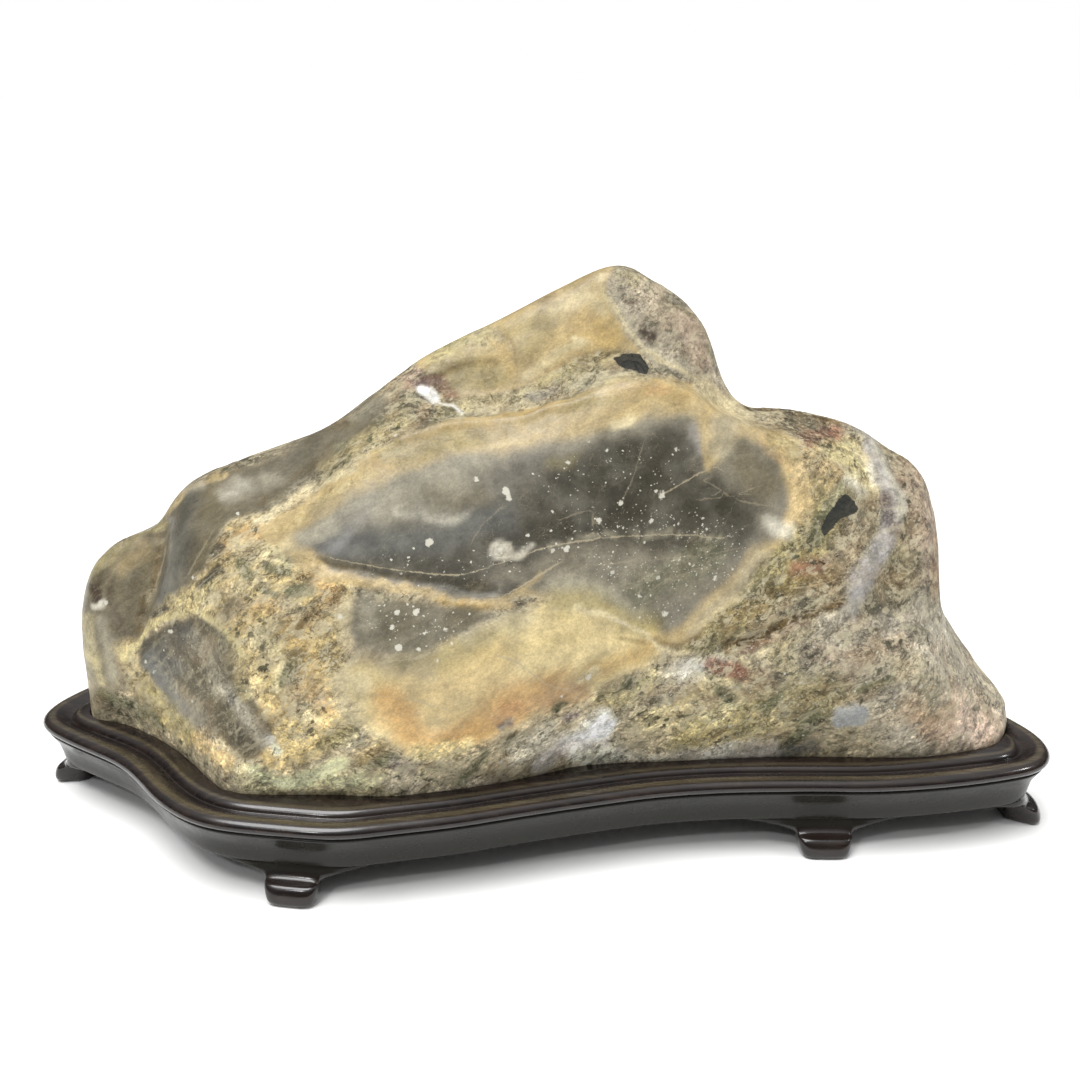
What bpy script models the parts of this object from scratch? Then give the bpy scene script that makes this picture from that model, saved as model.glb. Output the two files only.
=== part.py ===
"""Scholar's rock seated in a carved hardwood stand.

Two solids: a water-worn breccia boulder shaped like a small mountain, and the low footed
stand, carved from one block, whose recess follows the foot of the stone.
All shape numbers below are millimetres; Blender gets them multiplied by MM.
Frame: +X along the length, +Y away from the show face, +Z up, origin at the bottom centre.
"""

import math

import bmesh
import bpy
import numpy as np

MM = 0.001

# ---------------------------------------------------------------- driving sizes
STONE_GAP = 0.3  # clearance between the stone and its recess
STONE_SOLE = 19.8  # height of the flattened sole of the stone
STONE_STATIONS = 64  # cross sections along the length
CREST_HEIGHT = 161.3  # top of the peak above the table

FOOT_HEIGHT = 10.0  # underside of the stand above the table
LIP_HEIGHT = 25.8  # top of the lip round the recess
OUTLINE_STEP = 12.0  # spacing of the stand's sections along a straight stretch
BEND_WEIGHT = 45.0  # how much closer they get where the outline bends, per radian
NORMAL_EASING = 16  # passes that spread the moulding's direction round the tight bends

TO_CENTRE = (0.1, -0.28, 0.0)  # brings the middle of the finished object onto the origin

STONE_COLOUR = (0.36, 0.33, 0.25, 1.0)
WOOD_COLOUR = (0.022, 0.012, 0.009, 1.0)

# ---------------------------------------------------------------- the stone's lines
# Each line runs the length of the stone from its left tip to its right tip.
# A knot is (x, y, z); a fourth number is the station along the length where the section
# through it is taken, for a knot that overhangs its neighbours.
LEFT_TIP = (-137.0, 8.0, 48.0)
RIGHT_TIP = (143.0, 4.0, 28.0)

FOOT_FRONT = [
    (-134, 1, 27), (-124, -3, 27), (-115, -9, 27), (-104, -19, 27), (-94, -31, 27),
    (-86, -41, 27), (-76, -44, 27), (-58, -44, 27), (-42, -45, 27), (-27, -42.5, 27),
    (-14, -39, 27), (1, -33.5, 27), (14, -28, 27), (40, -25.5, 27), (72, -23, 27),
    (103, -23.5, 27), (124, -20, 27), (135, -15, 27), (140, -8, 27),
]
NOSE = [
    (-132, -2, 49), (-121, -8, 52), (-107, -16, 55), (-92, -29, 57), (-76, -42, 58),
    (-60, -47.5, 57), (-36, -49, 59), (-14, -46.5, 63), (6, -42.5, 68), (22, -37.5, 66),
    (44, -33, 58), (66, -30.5, 55), (88, -31, 54), (106, -27.5, 51), (119, -20, 45),
    (134, -11, 33.5),
]
CREASE = [
    (-131.5, -1, 58), (-123, -4, 65), (-113, -7, 69), (-104, -13, 73), (-82, -27, 84),
    (-62, -33, 89), (-36, -36.5, 84.5), (-4, -37, 83), (17, -35.5, 76), (34, -32, 70),
    (45, -28.5, 75), (56, -24.5, 85), (72, -19.5, 94), (89, -20, 86), (102, -16, 80),
    (110, -13, 73), (114, -13.5, 62, 116), (121, -13, 52), (134, -9, 37.5),
]
RIDGE = [
    (-131, 1, 66), (-123, 0, 73), (-113, -1, 79), (-104, -7, 83), (-92, -14, 89),
    (-79, -21, 94.5), (-64, -26, 97), (-54, -23.5, 104), (-36, -19.5, 114), (-14, -15.5, 119),
    (7, -12.5, 126), (28, -10, 131.5), (44, -9.5, 129), (55, -12, 122), (66, -14, 114.5),
    (84, -8, 112), (99, -6, 103), (111, -7, 89), (116, -7, 71, 117), (116.5, -7, 61.5, 119.5),
    (124, -6, 51.5), (134, -5, 40),
]
LEDGE = [
    (-131, 4.5, 71), (-123, 4, 77.5), (-113, 3.5, 83.5), (-104, 0, 90), (-92, -5, 96),
    (-79, -8, 102), (-60, -8, 110.5), (-45, -6, 121), (-30, -6.5, 127.5), (-10, -6, 128),
    (7, -5.5, 131.5), (18, -4, 135.5), (29, -3, 136.5), (44, -1, 130), (55, 0, 123.2),
    (66, 0, 119.5), (84, 1, 115.5), (99, 2, 107.5), (112, 0, 97), (117.5, -1, 76, 118),
    (116.8, -1, 64, 120.5), (126, -1, 52), (134, -0.5, 41.3),
]
CREST = [
    (-130.5, 8, 74), (-123.5, 8, 80), (-114, 8, 84), (-109.5, 8, 86.5), (-106, 7, 94),
    (-98.5, 6, 100), (-81.5, 5, 107), (-60, 5, 115.5), (-46.5, 6, 125), (-32, 7, 135.5),
    (-9.5, 7, 146.5), (7, 8, 154.8), (21, 8, 161), (25, 8, CREST_HEIGHT), (32, 9, 157),
    (43.5, 10, 149.5), (50.5, 10, 140, 49.5), (54, 10, 128.5, 53), (59, 8, 122, 57),
    (72.5, 8, 120), (88.5, 8, 117.2), (99, 8, 109.5), (111.5, 8, 102.5, 110.5),
    (117, 8, 91.5, 115), (119.8, 7, 75, 118.5), (118.4, 6, 64, 121), (127, 5, 52),
    (134, 4, 41.5),
]
BACK_SHOULDER = [
    (-130.5, 19, 68), (-114, 26, 78), (-97, 27, 90), (-76, 28, 99), (-50, 31, 105),
    (-32, 30, 121), (-8, 29, 132), (14, 30, 142), (27, 27, 146), (42, 29, 134),
    (56, 28, 116), (74, 27, 111), (92, 26, 104), (107, 23, 94), (118, 19, 72, 119),
    (126, 14, 52), (134, 9, 40),
]
BACK_BELLY = [
    (-130, 24, 50), (-114, 36, 58), (-97, 41, 66), (-70, 47, 66), (-48, 47.5, 74),
    (-20, 51, 80), (8, 50, 84), (30, 47, 90), (48, 50, 70), (72, 46, 62), (94, 42, 66),
    (110, 32, 58), (122, 23, 46), (134, 13, 35),
]
FOOT_BACK = [
    (-132, 18, 27), (-120, 29, 27), (-100, 38, 27), (-70, 43, 27), (-46, 44, 27),
    (-20, 47, 27), (10, 46, 27), (36, 46.5, 27), (58, 42, 27), (84, 40, 27),
    (106, 33, 27), (124, 21, 27), (135, 12, 27),
]
SOLE_INSET = 3.5  # how far the sole's edge lies inside the foot line

LINES_OVER_THE_TOP = (NOSE, CREASE, RIDGE, LEDGE, CREST, BACK_SHOULDER, BACK_BELLY)
# Steps from each line to the next one round a section, the flat sole last.
STEPS_ROUND = (2, 5, 5, 5, 3, 5, 5, 5, 5, 2, 1)

# Soft flat breaks: a point, the way the flat faces, and how far from the point it reaches.
FLATS = {
    "peak_face": ((4, -1, 141), (-0.20, -0.88, 0.44), 26),
    "peak_right_cut": ((43, 0, 146), (0.74, -0.55, 0.38), 15),
    "lens_facet": ((-98, -28, 56), (-0.66, -0.72, 0.22), 30),
    "upper_left_slope": ((-76, -7, 103), (-0.28, -0.62, 0.73), 26),
    "back_upper_slope": ((10, 38, 122), (0.05, 0.80, 0.60), 40),
    "back_left_slope": ((-85, 38, 78), (-0.30, 0.82, 0.48), 40),
    "back_right_face": ((88, 38, 82), (0.42, 0.82, 0.38), 34),
    "back_low_face": ((-8, 49, 62), (-0.12, 0.98, -0.10), 30),
    "right_end_face": ((119, 12, 66), (0.86, 0.40, 0.30), 18),
}
FLAT_SOFTNESS = 1.0  # how gently a flat fades into its neighbours
FLAT_DEPTH = 6.0  # the most that a flat takes off

# Hollows (negative depth) and swells (positive) drawn along a path.
STROKES = {
    "left_lump_crease": ([(-109, 2, 87), (-113, -8, 74), (-116, -12, 60)], 6.0, -2.2),
    "shoulder_groove": ([(88, 2, 117), (97, -10, 100), (100, -19, 84), (97, -25, 70)], 6.0, -2.4),
    "shoulder_rib": ([(95, 4, 113), (106, -8, 96), (108, -14, 80)], 6.0, 1.8),
    "peak_notch": ([(57, 16, 124), (56, 2, 123), (50, -7, 126)], 6.0, -2.4),
    "ledge_undercut": ([(-32, -6, 130), (-8, -6, 131), (14, -5, 136), (30, -4, 138)], 5.0, -1.6),
    "lobe_swell": ([(-14, -47, 66), (6, -43, 70), (20, -38, 66)], 15.0, 1.8),
    "foot_hollow": ([(38, -34, 60), (52, -26, 70), (66, -24, 80)], 9.0, -2.2),
    "back_gully": ([(-30, 34, 120), (-36, 46, 92), (-44, 50, 60), (-48, 46, 34)], 9.0, -3.2),
    "back_rib": ([(24, 30, 146), (30, 44, 112), (34, 52, 70)], 12.0, 3.0),
    "back_right_gully": ([(62, 26, 116), (60, 44, 84), (58, 48, 52)], 9.0, -2.6),
}

# ---------------------------------------------------------------- the stand's outline
# Plan of the dark groove under the bead, anticlockwise from the left end.
OUTLINE = [
    (-148.5, 1), (-134, -11), (-121, -20), (-112.5, -29), (-103.5, -41), (-94, -50),
    (-84, -55), (-68, -58), (-52, -60), (-36, -57), (-20, -53.5), (-2, -48), (16, -43),
    (34, -38.5), (54, -36), (76, -35.5), (96, -35.5), (116, -33), (133, -29), (144.5, -24.5),
    (149.5, -16), (148.5, -6), (143, 5), (134, 22), (119, 38), (98, 49), (70, 56),
    (36, 59.5), (0, 60.5), (-36, 60), (-72, 57), (-102, 51), (-125, 41), (-140, 27),
    (-149, 12),
]

# Moulding round the stand: how far in from the outline, and the height.
PROFILE = [
    (5.4, FOOT_HEIGHT), (4.0, 10.8), (3.4, 13.6), (2.5, 16.6), (1.0, 19.0), (0.1, 20.6),
    (1.0, 21.5), (-0.5, 22.1), (-1.2, 23.2), (-0.6, 24.4), (1.6, 25.1), (5.4, 24.8),
    (7.4, 23.9), (9.2, 25.1), (11.8, LIP_HEIGHT),
]

# Feet: the point of the outline that each one stands under.
FEET = {
    "left_end": (-148.0, 12.0),
    "front_left": (-65.5, -58.3),
    "front_right": (83.5, -35.5),
    "right_end": (149.6, -13.5),
    "back_right": (78.0, 54.6),
    "back_left": (-80.0, 56.0),
}

# A foot from the table up: height, half width along the outline, inset of its outer and
# inner faces. It necks in above a rolled toe and spreads into the underside in two curves.
FOOT_SECTIONS = [
    (0.0, 5.2, 0.2, 9.0), (0.5, 6.2, -1.0, 9.6), (1.6, 6.7, -1.5, 9.8), (3.0, 6.5, -0.5, 10.0),
    (5.0, 6.2, 1.3, 10.4), (7.0, 6.7, 2.5, 11.0), (8.6, 8.0, 3.0, 12.0), (9.6, 10.4, 3.4, 13.5),
    (10.4, 13.6, 4.4, 15.0), (12.5, 14.2, 4.8, 15.5),
]


# ---------------------------------------------------------------- helpers
def clear_scene():
    for old in list(bpy.data.objects):
        bpy.data.objects.remove(old, do_unlink=True)


def new_collection(name):
    collection = bpy.data.collections.new(name)
    bpy.context.scene.collection.children.link(collection)
    return collection


def material(name, colour, roughness, coat=0.0):
    made = bpy.data.materials.new(name)
    made.use_nodes = True
    shader = made.node_tree.nodes["Principled BSDF"]
    shader.inputs["Base Color"].default_value = colour
    shader.inputs["Roughness"].default_value = roughness
    shader.inputs["Metallic"].default_value = 0.0
    shader.inputs["Coat Weight"].default_value = coat
    made.diffuse_color = colour
    return made


def add_object(name, mesh, collection, surface=None):
    placed = bpy.data.objects.new(name, mesh)
    collection.objects.link(placed)
    if surface:
        mesh.materials.append(surface)
    return placed


def mesh_from(name, points, faces, smooth=True):
    """A mesh from points in millimetres, with its faces turned outwards."""
    mesh = bpy.data.meshes.new(name)
    placed = (np.asarray(points, float) + TO_CENTRE) * MM
    mesh.from_pydata(placed.tolist(), [], faces)
    shape = bmesh.new()
    shape.from_mesh(mesh)
    bmesh.ops.recalc_face_normals(shape, faces=shape.faces)
    shape.to_mesh(mesh)
    shape.free()
    if smooth:
        mesh.shade_smooth()
    return mesh


def smooth_curve(knots, values, wanted):
    """Cubic curve through the knots that never swings past them."""
    knots = np.asarray(knots, float)
    values = np.asarray(values, float)
    gaps = np.diff(knots)
    slopes = np.diff(values) / gaps
    tangents = np.zeros_like(values)
    tangents[0] = slopes[0]
    tangents[-1] = slopes[-1]
    for i in range(1, len(values) - 1):
        before = slopes[i - 1]
        after = slopes[i]
        if before * after > 0:
            early = 2 * gaps[i] + gaps[i - 1]
            late = gaps[i] + 2 * gaps[i - 1]
            tangents[i] = (early + late) / (early / before + late / after)
    span = np.clip(np.searchsorted(knots, wanted, side="right") - 1, 0, len(gaps) - 1)
    u = (wanted - knots[span]) / gaps[span]
    return (
        values[span] * (1 + 2 * u) * (1 - u) ** 2
        + tangents[span] * gaps[span] * u * (1 - u) ** 2
        + values[span + 1] * u * u * (3 - 2 * u)
        - tangents[span + 1] * gaps[span] * u * u * (1 - u)
    )


# ---------------------------------------------------------------- the stone
def station_angle(station):
    """Angle of a section on the circle that spans the stone's length, 0 at the left tip."""
    middle = (LEFT_TIP[0] + RIGHT_TIP[0]) / 2
    half = (RIGHT_TIP[0] - LEFT_TIP[0]) / 2
    return np.arccos(np.clip((middle - np.asarray(station, float)) / half, -1, 1))


def line_points(knots, angles):
    """Points of one lengthwise line at the given angles, tips included in its knots."""
    rows = [LEFT_TIP, *knots, RIGHT_TIP]
    stations = np.array([row[3] if len(row) > 3 else row[0] for row in rows], float)
    at = station_angle(stations)
    rows = np.array([row[:3] for row in rows], float)
    middle = (LEFT_TIP[0] + RIGHT_TIP[0]) / 2
    half = (RIGHT_TIP[0] - LEFT_TIP[0]) / 2
    along = middle - half * np.cos(angles)
    x = along + smooth_curve(at, rows[:, 0] - stations, angles)
    y = smooth_curve(at, rows[:, 1], angles)
    z = smooth_curve(at, rows[:, 2], angles)
    return np.stack([x, y, z], axis=1)


def sole_line(foot, inward):
    """The sole's edge under a foot line, drawn in towards the middle of the stone."""
    line = foot.copy()
    line[:, 1] += inward
    line[:, 2] = STONE_SOLE
    return line


def stone_lines(angles):
    """The lines in order round a section, from the sole's front edge over the top."""
    front = line_points(FOOT_FRONT, angles)
    back = line_points(FOOT_BACK, angles)
    inward = np.minimum(SOLE_INSET, 0.25 * (back[:, 1] - front[:, 1]))
    sole_front = sole_line(front, inward)
    sole_back = sole_line(back, -inward)
    over = [line_points(line, angles) for line in LINES_OVER_THE_TOP]
    return np.stack([sole_front, front, *over, back, sole_back], axis=1)


def round_section(lines):
    """Closed smooth curves through each section's points, sampled line to line."""
    count = lines.shape[1]
    chord = np.sqrt(np.linalg.norm(np.roll(lines, -1, axis=1) - lines, axis=2) + 1e-6)
    points = []
    for k in range(count):
        before = lines[:, (k - 1) % count]
        here = lines[:, k]
        after = lines[:, (k + 1) % count]
        beyond = lines[:, (k + 2) % count]
        d0 = chord[:, (k - 1) % count, None]
        d1 = chord[:, k, None]
        d2 = chord[:, (k + 1) % count, None]
        leave = here - before
        cross = after - here
        arrive = beyond - after
        start = (leave / d0 - (after - before) / (d0 + d1) + cross / d1) * d1
        end = (cross / d1 - (beyond - here) / (d1 + d2) + arrive / d2) * d1
        for step in range(STEPS_ROUND[k]):
            u = step / STEPS_ROUND[k]
            points.append(
                here * (1 + 2 * u) * (1 - u) ** 2
                + start * u * (1 - u) ** 2
                + after * u * u * (3 - 2 * u)
                - end * u * u * (1 - u)
            )
    return np.stack(points, axis=1)


def grid_normals(grid, inside):
    """Outward directions of a closed grid of sections."""
    along = np.gradient(grid, axis=0)
    round_ = np.roll(grid, -1, axis=1) - np.roll(grid, 1, axis=1)
    normals = np.cross(along, round_)
    normals /= np.linalg.norm(normals, axis=2, keepdims=True) + 1e-9
    outward = np.sign(np.sum(normals * (grid - inside), axis=2).mean())
    return normals * outward


def press_flats(points):
    """Press soft flat breaks into the surface."""
    for place, facing, reach in FLATS.values():
        facing = np.array(facing, float)
        facing /= np.linalg.norm(facing)
        away = points - np.array(place, float)
        proud = away @ facing
        sunk = FLAT_SOFTNESS * np.logaddexp(0.0, proud / FLAT_SOFTNESS)
        fade = np.exp(-((np.linalg.norm(away, axis=-1) / reach) ** 4))
        press = FLAT_DEPTH * np.tanh(sunk / FLAT_DEPTH) * fade
        points = points - press[..., None] * facing
    return points


def path_distance(points, path):
    """Distance from each point to a path of straight pieces."""
    nearest = np.full(points.shape[:-1], np.inf)
    path = np.array(path, float)
    for start, end in zip(path[:-1], path[1:]):
        run = end - start
        share = np.clip((points - start) @ run / (run @ run), 0.0, 1.0)
        gap = np.linalg.norm(points - (start + share[..., None] * run), axis=-1)
        nearest = np.minimum(nearest, gap)
    return nearest


def draw_strokes(points, normals):
    for path, width, depth in STROKES.values():
        swell = depth * np.exp(-((path_distance(points, path) / width) ** 2))
        points = points + swell[..., None] * normals
    return points


def stone_mesh():
    share = np.linspace(0.0, 1.0, STONE_STATIONS + 2)
    angles = np.pi * (share + 0.05 * np.sin(2 * np.pi * share))
    lines = stone_lines(angles)
    grid = round_section(lines)
    middle = lines.mean(axis=1, keepdims=True)
    body = grid[1:-1]
    body = press_flats(body)
    body = draw_strokes(body, grid_normals(body, middle[1:-1]))
    body[..., 2] = np.maximum(body[..., 2], STONE_SOLE)
    rows, columns = body.shape[:2]
    points = [*body.reshape(-1, 3), np.array(LEFT_TIP), np.array(RIGHT_TIP)]
    left = rows * columns
    faces = []
    for i in range(rows - 1):
        for j in range(columns):
            k = (j + 1) % columns
            faces.append((i * columns + j, i * columns + k, (i + 1) * columns + k, (i + 1) * columns + j))
    last = (rows - 1) * columns
    for j in range(columns):
        k = (j + 1) % columns
        faces.append((left, j, k))
        faces.append((left + 1, last + k, last + j))
    return mesh_from("stone", points, faces)


# ---------------------------------------------------------------- the stand
def closed_curve(knots, step):
    """Points along a smooth closed curve through the knots, closer where it bends."""
    knots = np.array(knots, float)
    dense = []
    for i in range(len(knots)):
        a, b, c, d = (knots[(i + k) % len(knots)] for k in (-1, 0, 1, 2))
        for u in np.linspace(0.0, 1.0, 24, endpoint=False):
            dense.append(
                0.5 * (2 * b + (c - a) * u + (2 * a - 5 * b + 4 * c - d) * u * u
                       + (3 * b - a - 3 * c + d) * u ** 3)
            )
    dense = np.array(dense)
    closed = np.vstack([dense, dense[:1]])
    run = np.diff(closed, axis=0)
    length = np.linalg.norm(run, axis=1)
    turn = np.unwrap(np.arctan2(run[:, 1], run[:, 0]))
    bend = np.abs(np.diff(np.append(turn, turn[0] + 2 * math.pi)))
    effort = np.concatenate([[0.0], np.cumsum(length + BEND_WEIGHT * bend)])
    count = int(round(effort[-1] / step))
    wanted = np.linspace(0.0, effort[-1], count, endpoint=False)
    return np.stack([np.interp(wanted, effort, closed[:, k]) for k in (0, 1)], axis=1)


class Rim:
    """The stand's outline, with places given by the way along it and the inset."""

    def __init__(self, step):
        self.points = closed_curve(OUTLINE, step)
        ahead = np.roll(self.points, -1, axis=0)
        behind = np.roll(self.points, 1, axis=0)
        tangent = ahead - behind
        tangent /= np.linalg.norm(tangent, axis=1, keepdims=True)
        self.inward = np.stack([-tangent[:, 1], tangent[:, 0]], axis=1)
        for _ in range(NORMAL_EASING):
            self.inward = self.inward + 0.5 * (np.roll(self.inward, 1, axis=0) + np.roll(self.inward, -1, axis=0))
            self.inward /= np.linalg.norm(self.inward, axis=1, keepdims=True)
        run = np.linalg.norm(ahead - self.points, axis=1)
        self.way = np.concatenate([[0.0], np.cumsum(run)])

    def ring(self, inset, height):
        flat = self.points + inset * self.inward
        return np.column_stack([flat, np.full(len(flat), height)])

    def way_near(self, place):
        ways = np.linspace(0.0, self.way[-1], 2000, endpoint=False)
        near = [math.dist(self.place(way, 0.0, 0.0)[:2], place) for way in ways]
        return ways[int(np.argmin(near))]

    def place(self, way, inset, height):
        way = way % self.way[-1]
        row = []
        for values in (self.points + inset * self.inward).T:
            row.append(np.interp(way, self.way, np.append(values, values[0])))
        return (row[0], row[1], height)


def loft(name, rings):
    """Skin over rings of equal length, closed by a flat face at each end."""
    count = len(rings[0])
    points = np.vstack(rings)
    faces = [tuple(range(count)), tuple(range(len(points) - count, len(points)))]
    for i in range(len(rings) - 1):
        for j in range(count):
            k = (j + 1) % count
            faces.append((i * count + j, i * count + k, (i + 1) * count + k, (i + 1) * count + j))
    return mesh_from(name, points, faces)


def stand_block(rim):
    return loft("stand", [rim.ring(inset, height) for inset, height in PROFILE])


def foot_mesh(rim, name, place):
    centre = rim.way_near(place)
    rings = []
    for height, half, outer, inner in FOOT_SECTIONS:
        bevel = min(1.2, half * 0.2)
        corners = [
            (-half, inner), (-half, outer + bevel), (-half + bevel, outer), (-half * 0.35, outer - 0.35),
            (half * 0.35, outer - 0.35), (half - bevel, outer), (half, outer + bevel), (half, inner),
        ]
        rings.append(np.array([rim.place(centre + s, d, height) for s, d in corners]))
    return loft(name, rings)


def boolean(target, other, operation, name, solver="EXACT"):
    cut = target.modifiers.new(name, "BOOLEAN")
    cut.operation = operation
    cut.object = other
    cut.solver = solver
    other.hide_render = True
    other.display_type = "WIRE"


def build_stone(collection):
    surface = material("polished_breccia", STONE_COLOUR, 0.35, coat=0.2)
    return add_object("rock", stone_mesh(), collection, surface)


def build_stand(collection, helpers, stone):
    surface = material("dark_lacquered_hardwood", WOOD_COLOUR, 0.25, coat=0.5)
    rim = Rim(OUTLINE_STEP)
    stand = add_object("stand", stand_block(rim), collection, surface)
    for name, place in FEET.items():
        foot = add_object("foot_" + name, foot_mesh(rim, name, place), helpers)
        boolean(stand, foot, "UNION", "join_" + name)
    seat = add_object("seat_cutter", stone.data.copy(), helpers)
    grow = seat.modifiers.new("clearance", "DISPLACE")
    grow.direction = "NORMAL"
    grow.mid_level = 0.0
    grow.strength = STONE_GAP * MM
    # The seat's wall crosses the long flat top face many times, which EXACT classifies wrongly.
    boolean(stand, seat, "DIFFERENCE", "cut_seat", solver="MANIFOLD")
    return stand


def main():
    clear_scene()
    parts = new_collection("scholars_rock_on_stand")
    helpers = new_collection("cutters_and_joined_shapes")
    stone = build_stone(parts)
    build_stand(parts, helpers, stone)


main()
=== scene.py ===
"""Finished look of the scholar's rock and its carved stand.

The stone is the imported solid, refined, given its small relief and painted with its minerals:
dark chert lenses with tan halos, lying in an ochre and olive breccia crossed by pale veins.
The stand is a finer sweep of the same moulding, cut to take the stone.
Lengths in the tables are millimetres, or units of the drawing sheet where it is used for the
show face. Blender gets metres.
"""

import itertools
import math

import bmesh
import bpy
import numpy as np
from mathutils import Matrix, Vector


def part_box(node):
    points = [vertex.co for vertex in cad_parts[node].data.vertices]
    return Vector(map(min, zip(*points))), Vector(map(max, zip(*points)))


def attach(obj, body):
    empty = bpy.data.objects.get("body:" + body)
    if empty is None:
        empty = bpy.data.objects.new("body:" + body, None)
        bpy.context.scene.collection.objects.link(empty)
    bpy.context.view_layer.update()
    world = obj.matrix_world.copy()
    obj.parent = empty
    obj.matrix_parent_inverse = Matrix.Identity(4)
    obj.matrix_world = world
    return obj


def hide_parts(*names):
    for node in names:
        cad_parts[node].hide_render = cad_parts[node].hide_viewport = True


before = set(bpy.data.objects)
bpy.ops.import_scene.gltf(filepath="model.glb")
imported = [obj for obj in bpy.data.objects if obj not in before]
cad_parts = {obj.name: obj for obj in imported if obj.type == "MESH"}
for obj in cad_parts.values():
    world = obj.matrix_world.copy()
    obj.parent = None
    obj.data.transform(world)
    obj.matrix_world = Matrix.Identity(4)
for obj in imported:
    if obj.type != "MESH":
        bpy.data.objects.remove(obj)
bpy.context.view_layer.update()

bl_info = {
    "name": "Scholar's rock on a carved stand",
    "version": (1, 0, 0),
    "blender": (4, 5, 0),
    "location": "3D View > Sidebar > Rock",
    "description": "Builds the veined viewing stone, its lacquered stand and a plain stage",
    "category": "Object",
}

MM = 0.001  # a millimetre in Blender's metres

# ---------------------------------------------------------------- the drawing sheet
# The show face is drawn on a sheet held before the stone: a place on the sheet is where the
# line from the eye to the surface crosses it. x runs right and y runs down.
EYE = np.array((1.505, -366.575, 216.97))
EYE_PITCH = math.radians(20.0)
SHEET_FOCUS = 1350.0  # the sheet's distance from the eye, in its own units
SHEET_MIDDLE = 540.0
EYE_LENS = 45.0  # the lens that sees the same on a sensor as wide as SENSOR_WIDTH
SENSOR_WIDTH = 36.0
SHEET_UNIT = 1 / 3.6  # millimetres on the stone in one unit of the sheet
FRONT_FADE = (-0.30, -0.02)  # facing over which the show face's drawing gives way to the back's
FINE_FACING = 0.47  # the stone's mesh is finest where it faces the eye more than this
FINE_HEIGHT = 25.0  # and lies above this height
WELD_GAP = 1e-3  # points of a solid that lie closer than this are one
SMOOTH_LEVELS = 2  # how often every face of the solid is divided and smoothed
FINE_SMOOTHING = 0.6  # how round the extra points of the show face lie
FLAT_ANGLE = math.radians(60.0)  # triangles that meet flatter than this are joined before smoothing

# ---------------------------------------------------------------- minerals
# Display colours from 0 to 255, as they look polished and lit on this stage.
KEY_LIGHT = 1.38  # brightness of a white matt surface facing the eye on this stage
KEY_WAY = (-0.24, -0.22, 0.945)  # the way from the rock to the key light
ROOM_SHARE = 0.75  # brightness that a white surface of any slope gets from the room
KEY_SHARE = 0.94  # and what the key light adds where it falls straight on it
EVENING = 0.6  # how far the minerals make up for the light that their slope loses
GLOSS_LIGHT = 0.045  # brightness that the polish adds
EVEN_SLOPE = 0.9  # the key light's share on a slope whose minerals need no evening
EVEN_LIMITS = (0.8, 1.3)  # the least and the most that a mineral is multiplied by
BRIGHTEST = 0.85  # no mineral reflects more than this
MINERALS = {
    "chert": (98, 95, 87),
    "graphite": (103, 97, 82),
    "night": (82, 80, 74),
    "slate": (108, 109, 106),
    "taupe": (122, 115, 98),
    "smoke": (134, 129, 116),
    "lens_grey": (122, 117, 102),
    "ash": (166, 156, 133),
    "stone_grey": (176, 168, 152),
    "pepper": (176, 166, 147),
    "haze": (178, 172, 152),
    "white": (250, 248, 240),
    "mist": (212, 207, 190),
    "cream": (218, 204, 166),
    "butter": (213, 195, 149),
    "tan": (191, 171, 129),
    "wheat": (214, 190, 144),
    "gold": (190, 164, 114),
    "amber": (184, 148, 100),
    "orange": (206, 172, 124),
    "ochre": (195, 176, 131),
    "straw": (196, 184, 140),
    "sage": (216, 208, 168),
    "olive": (154, 144, 106),
    "moss": (104, 106, 88),
    "bark": (112, 94, 68),
    "umber": (80, 68, 52),
    "rust": (160, 122, 90),
    "maroon": (134, 100, 88),
    "rose": (184, 162, 146),
    "lilac": (172, 168, 164),
    "plum": (124, 116, 114),
    "blue_grey": (133, 135, 135),
}


# ---------------------------------------------------------------- the way marks are written
def area(colour, grain, soft, outline, strength=1.0):
    """A closed patch of a mineral. grain is 1 for coarse breccia and 0 for smooth stone."""
    return ("area", colour, grain, 0.0, soft, outline, strength)


def stroke(colour, grain, half, soft, path, strength=1.0):
    """A band of a mineral along a path, half its width and the softness of its edge."""
    return ("stroke", colour, grain, half, soft, path, strength)


MARK_STEPS = 4  # points that a mark's curve gets from one of its points to the next

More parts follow.
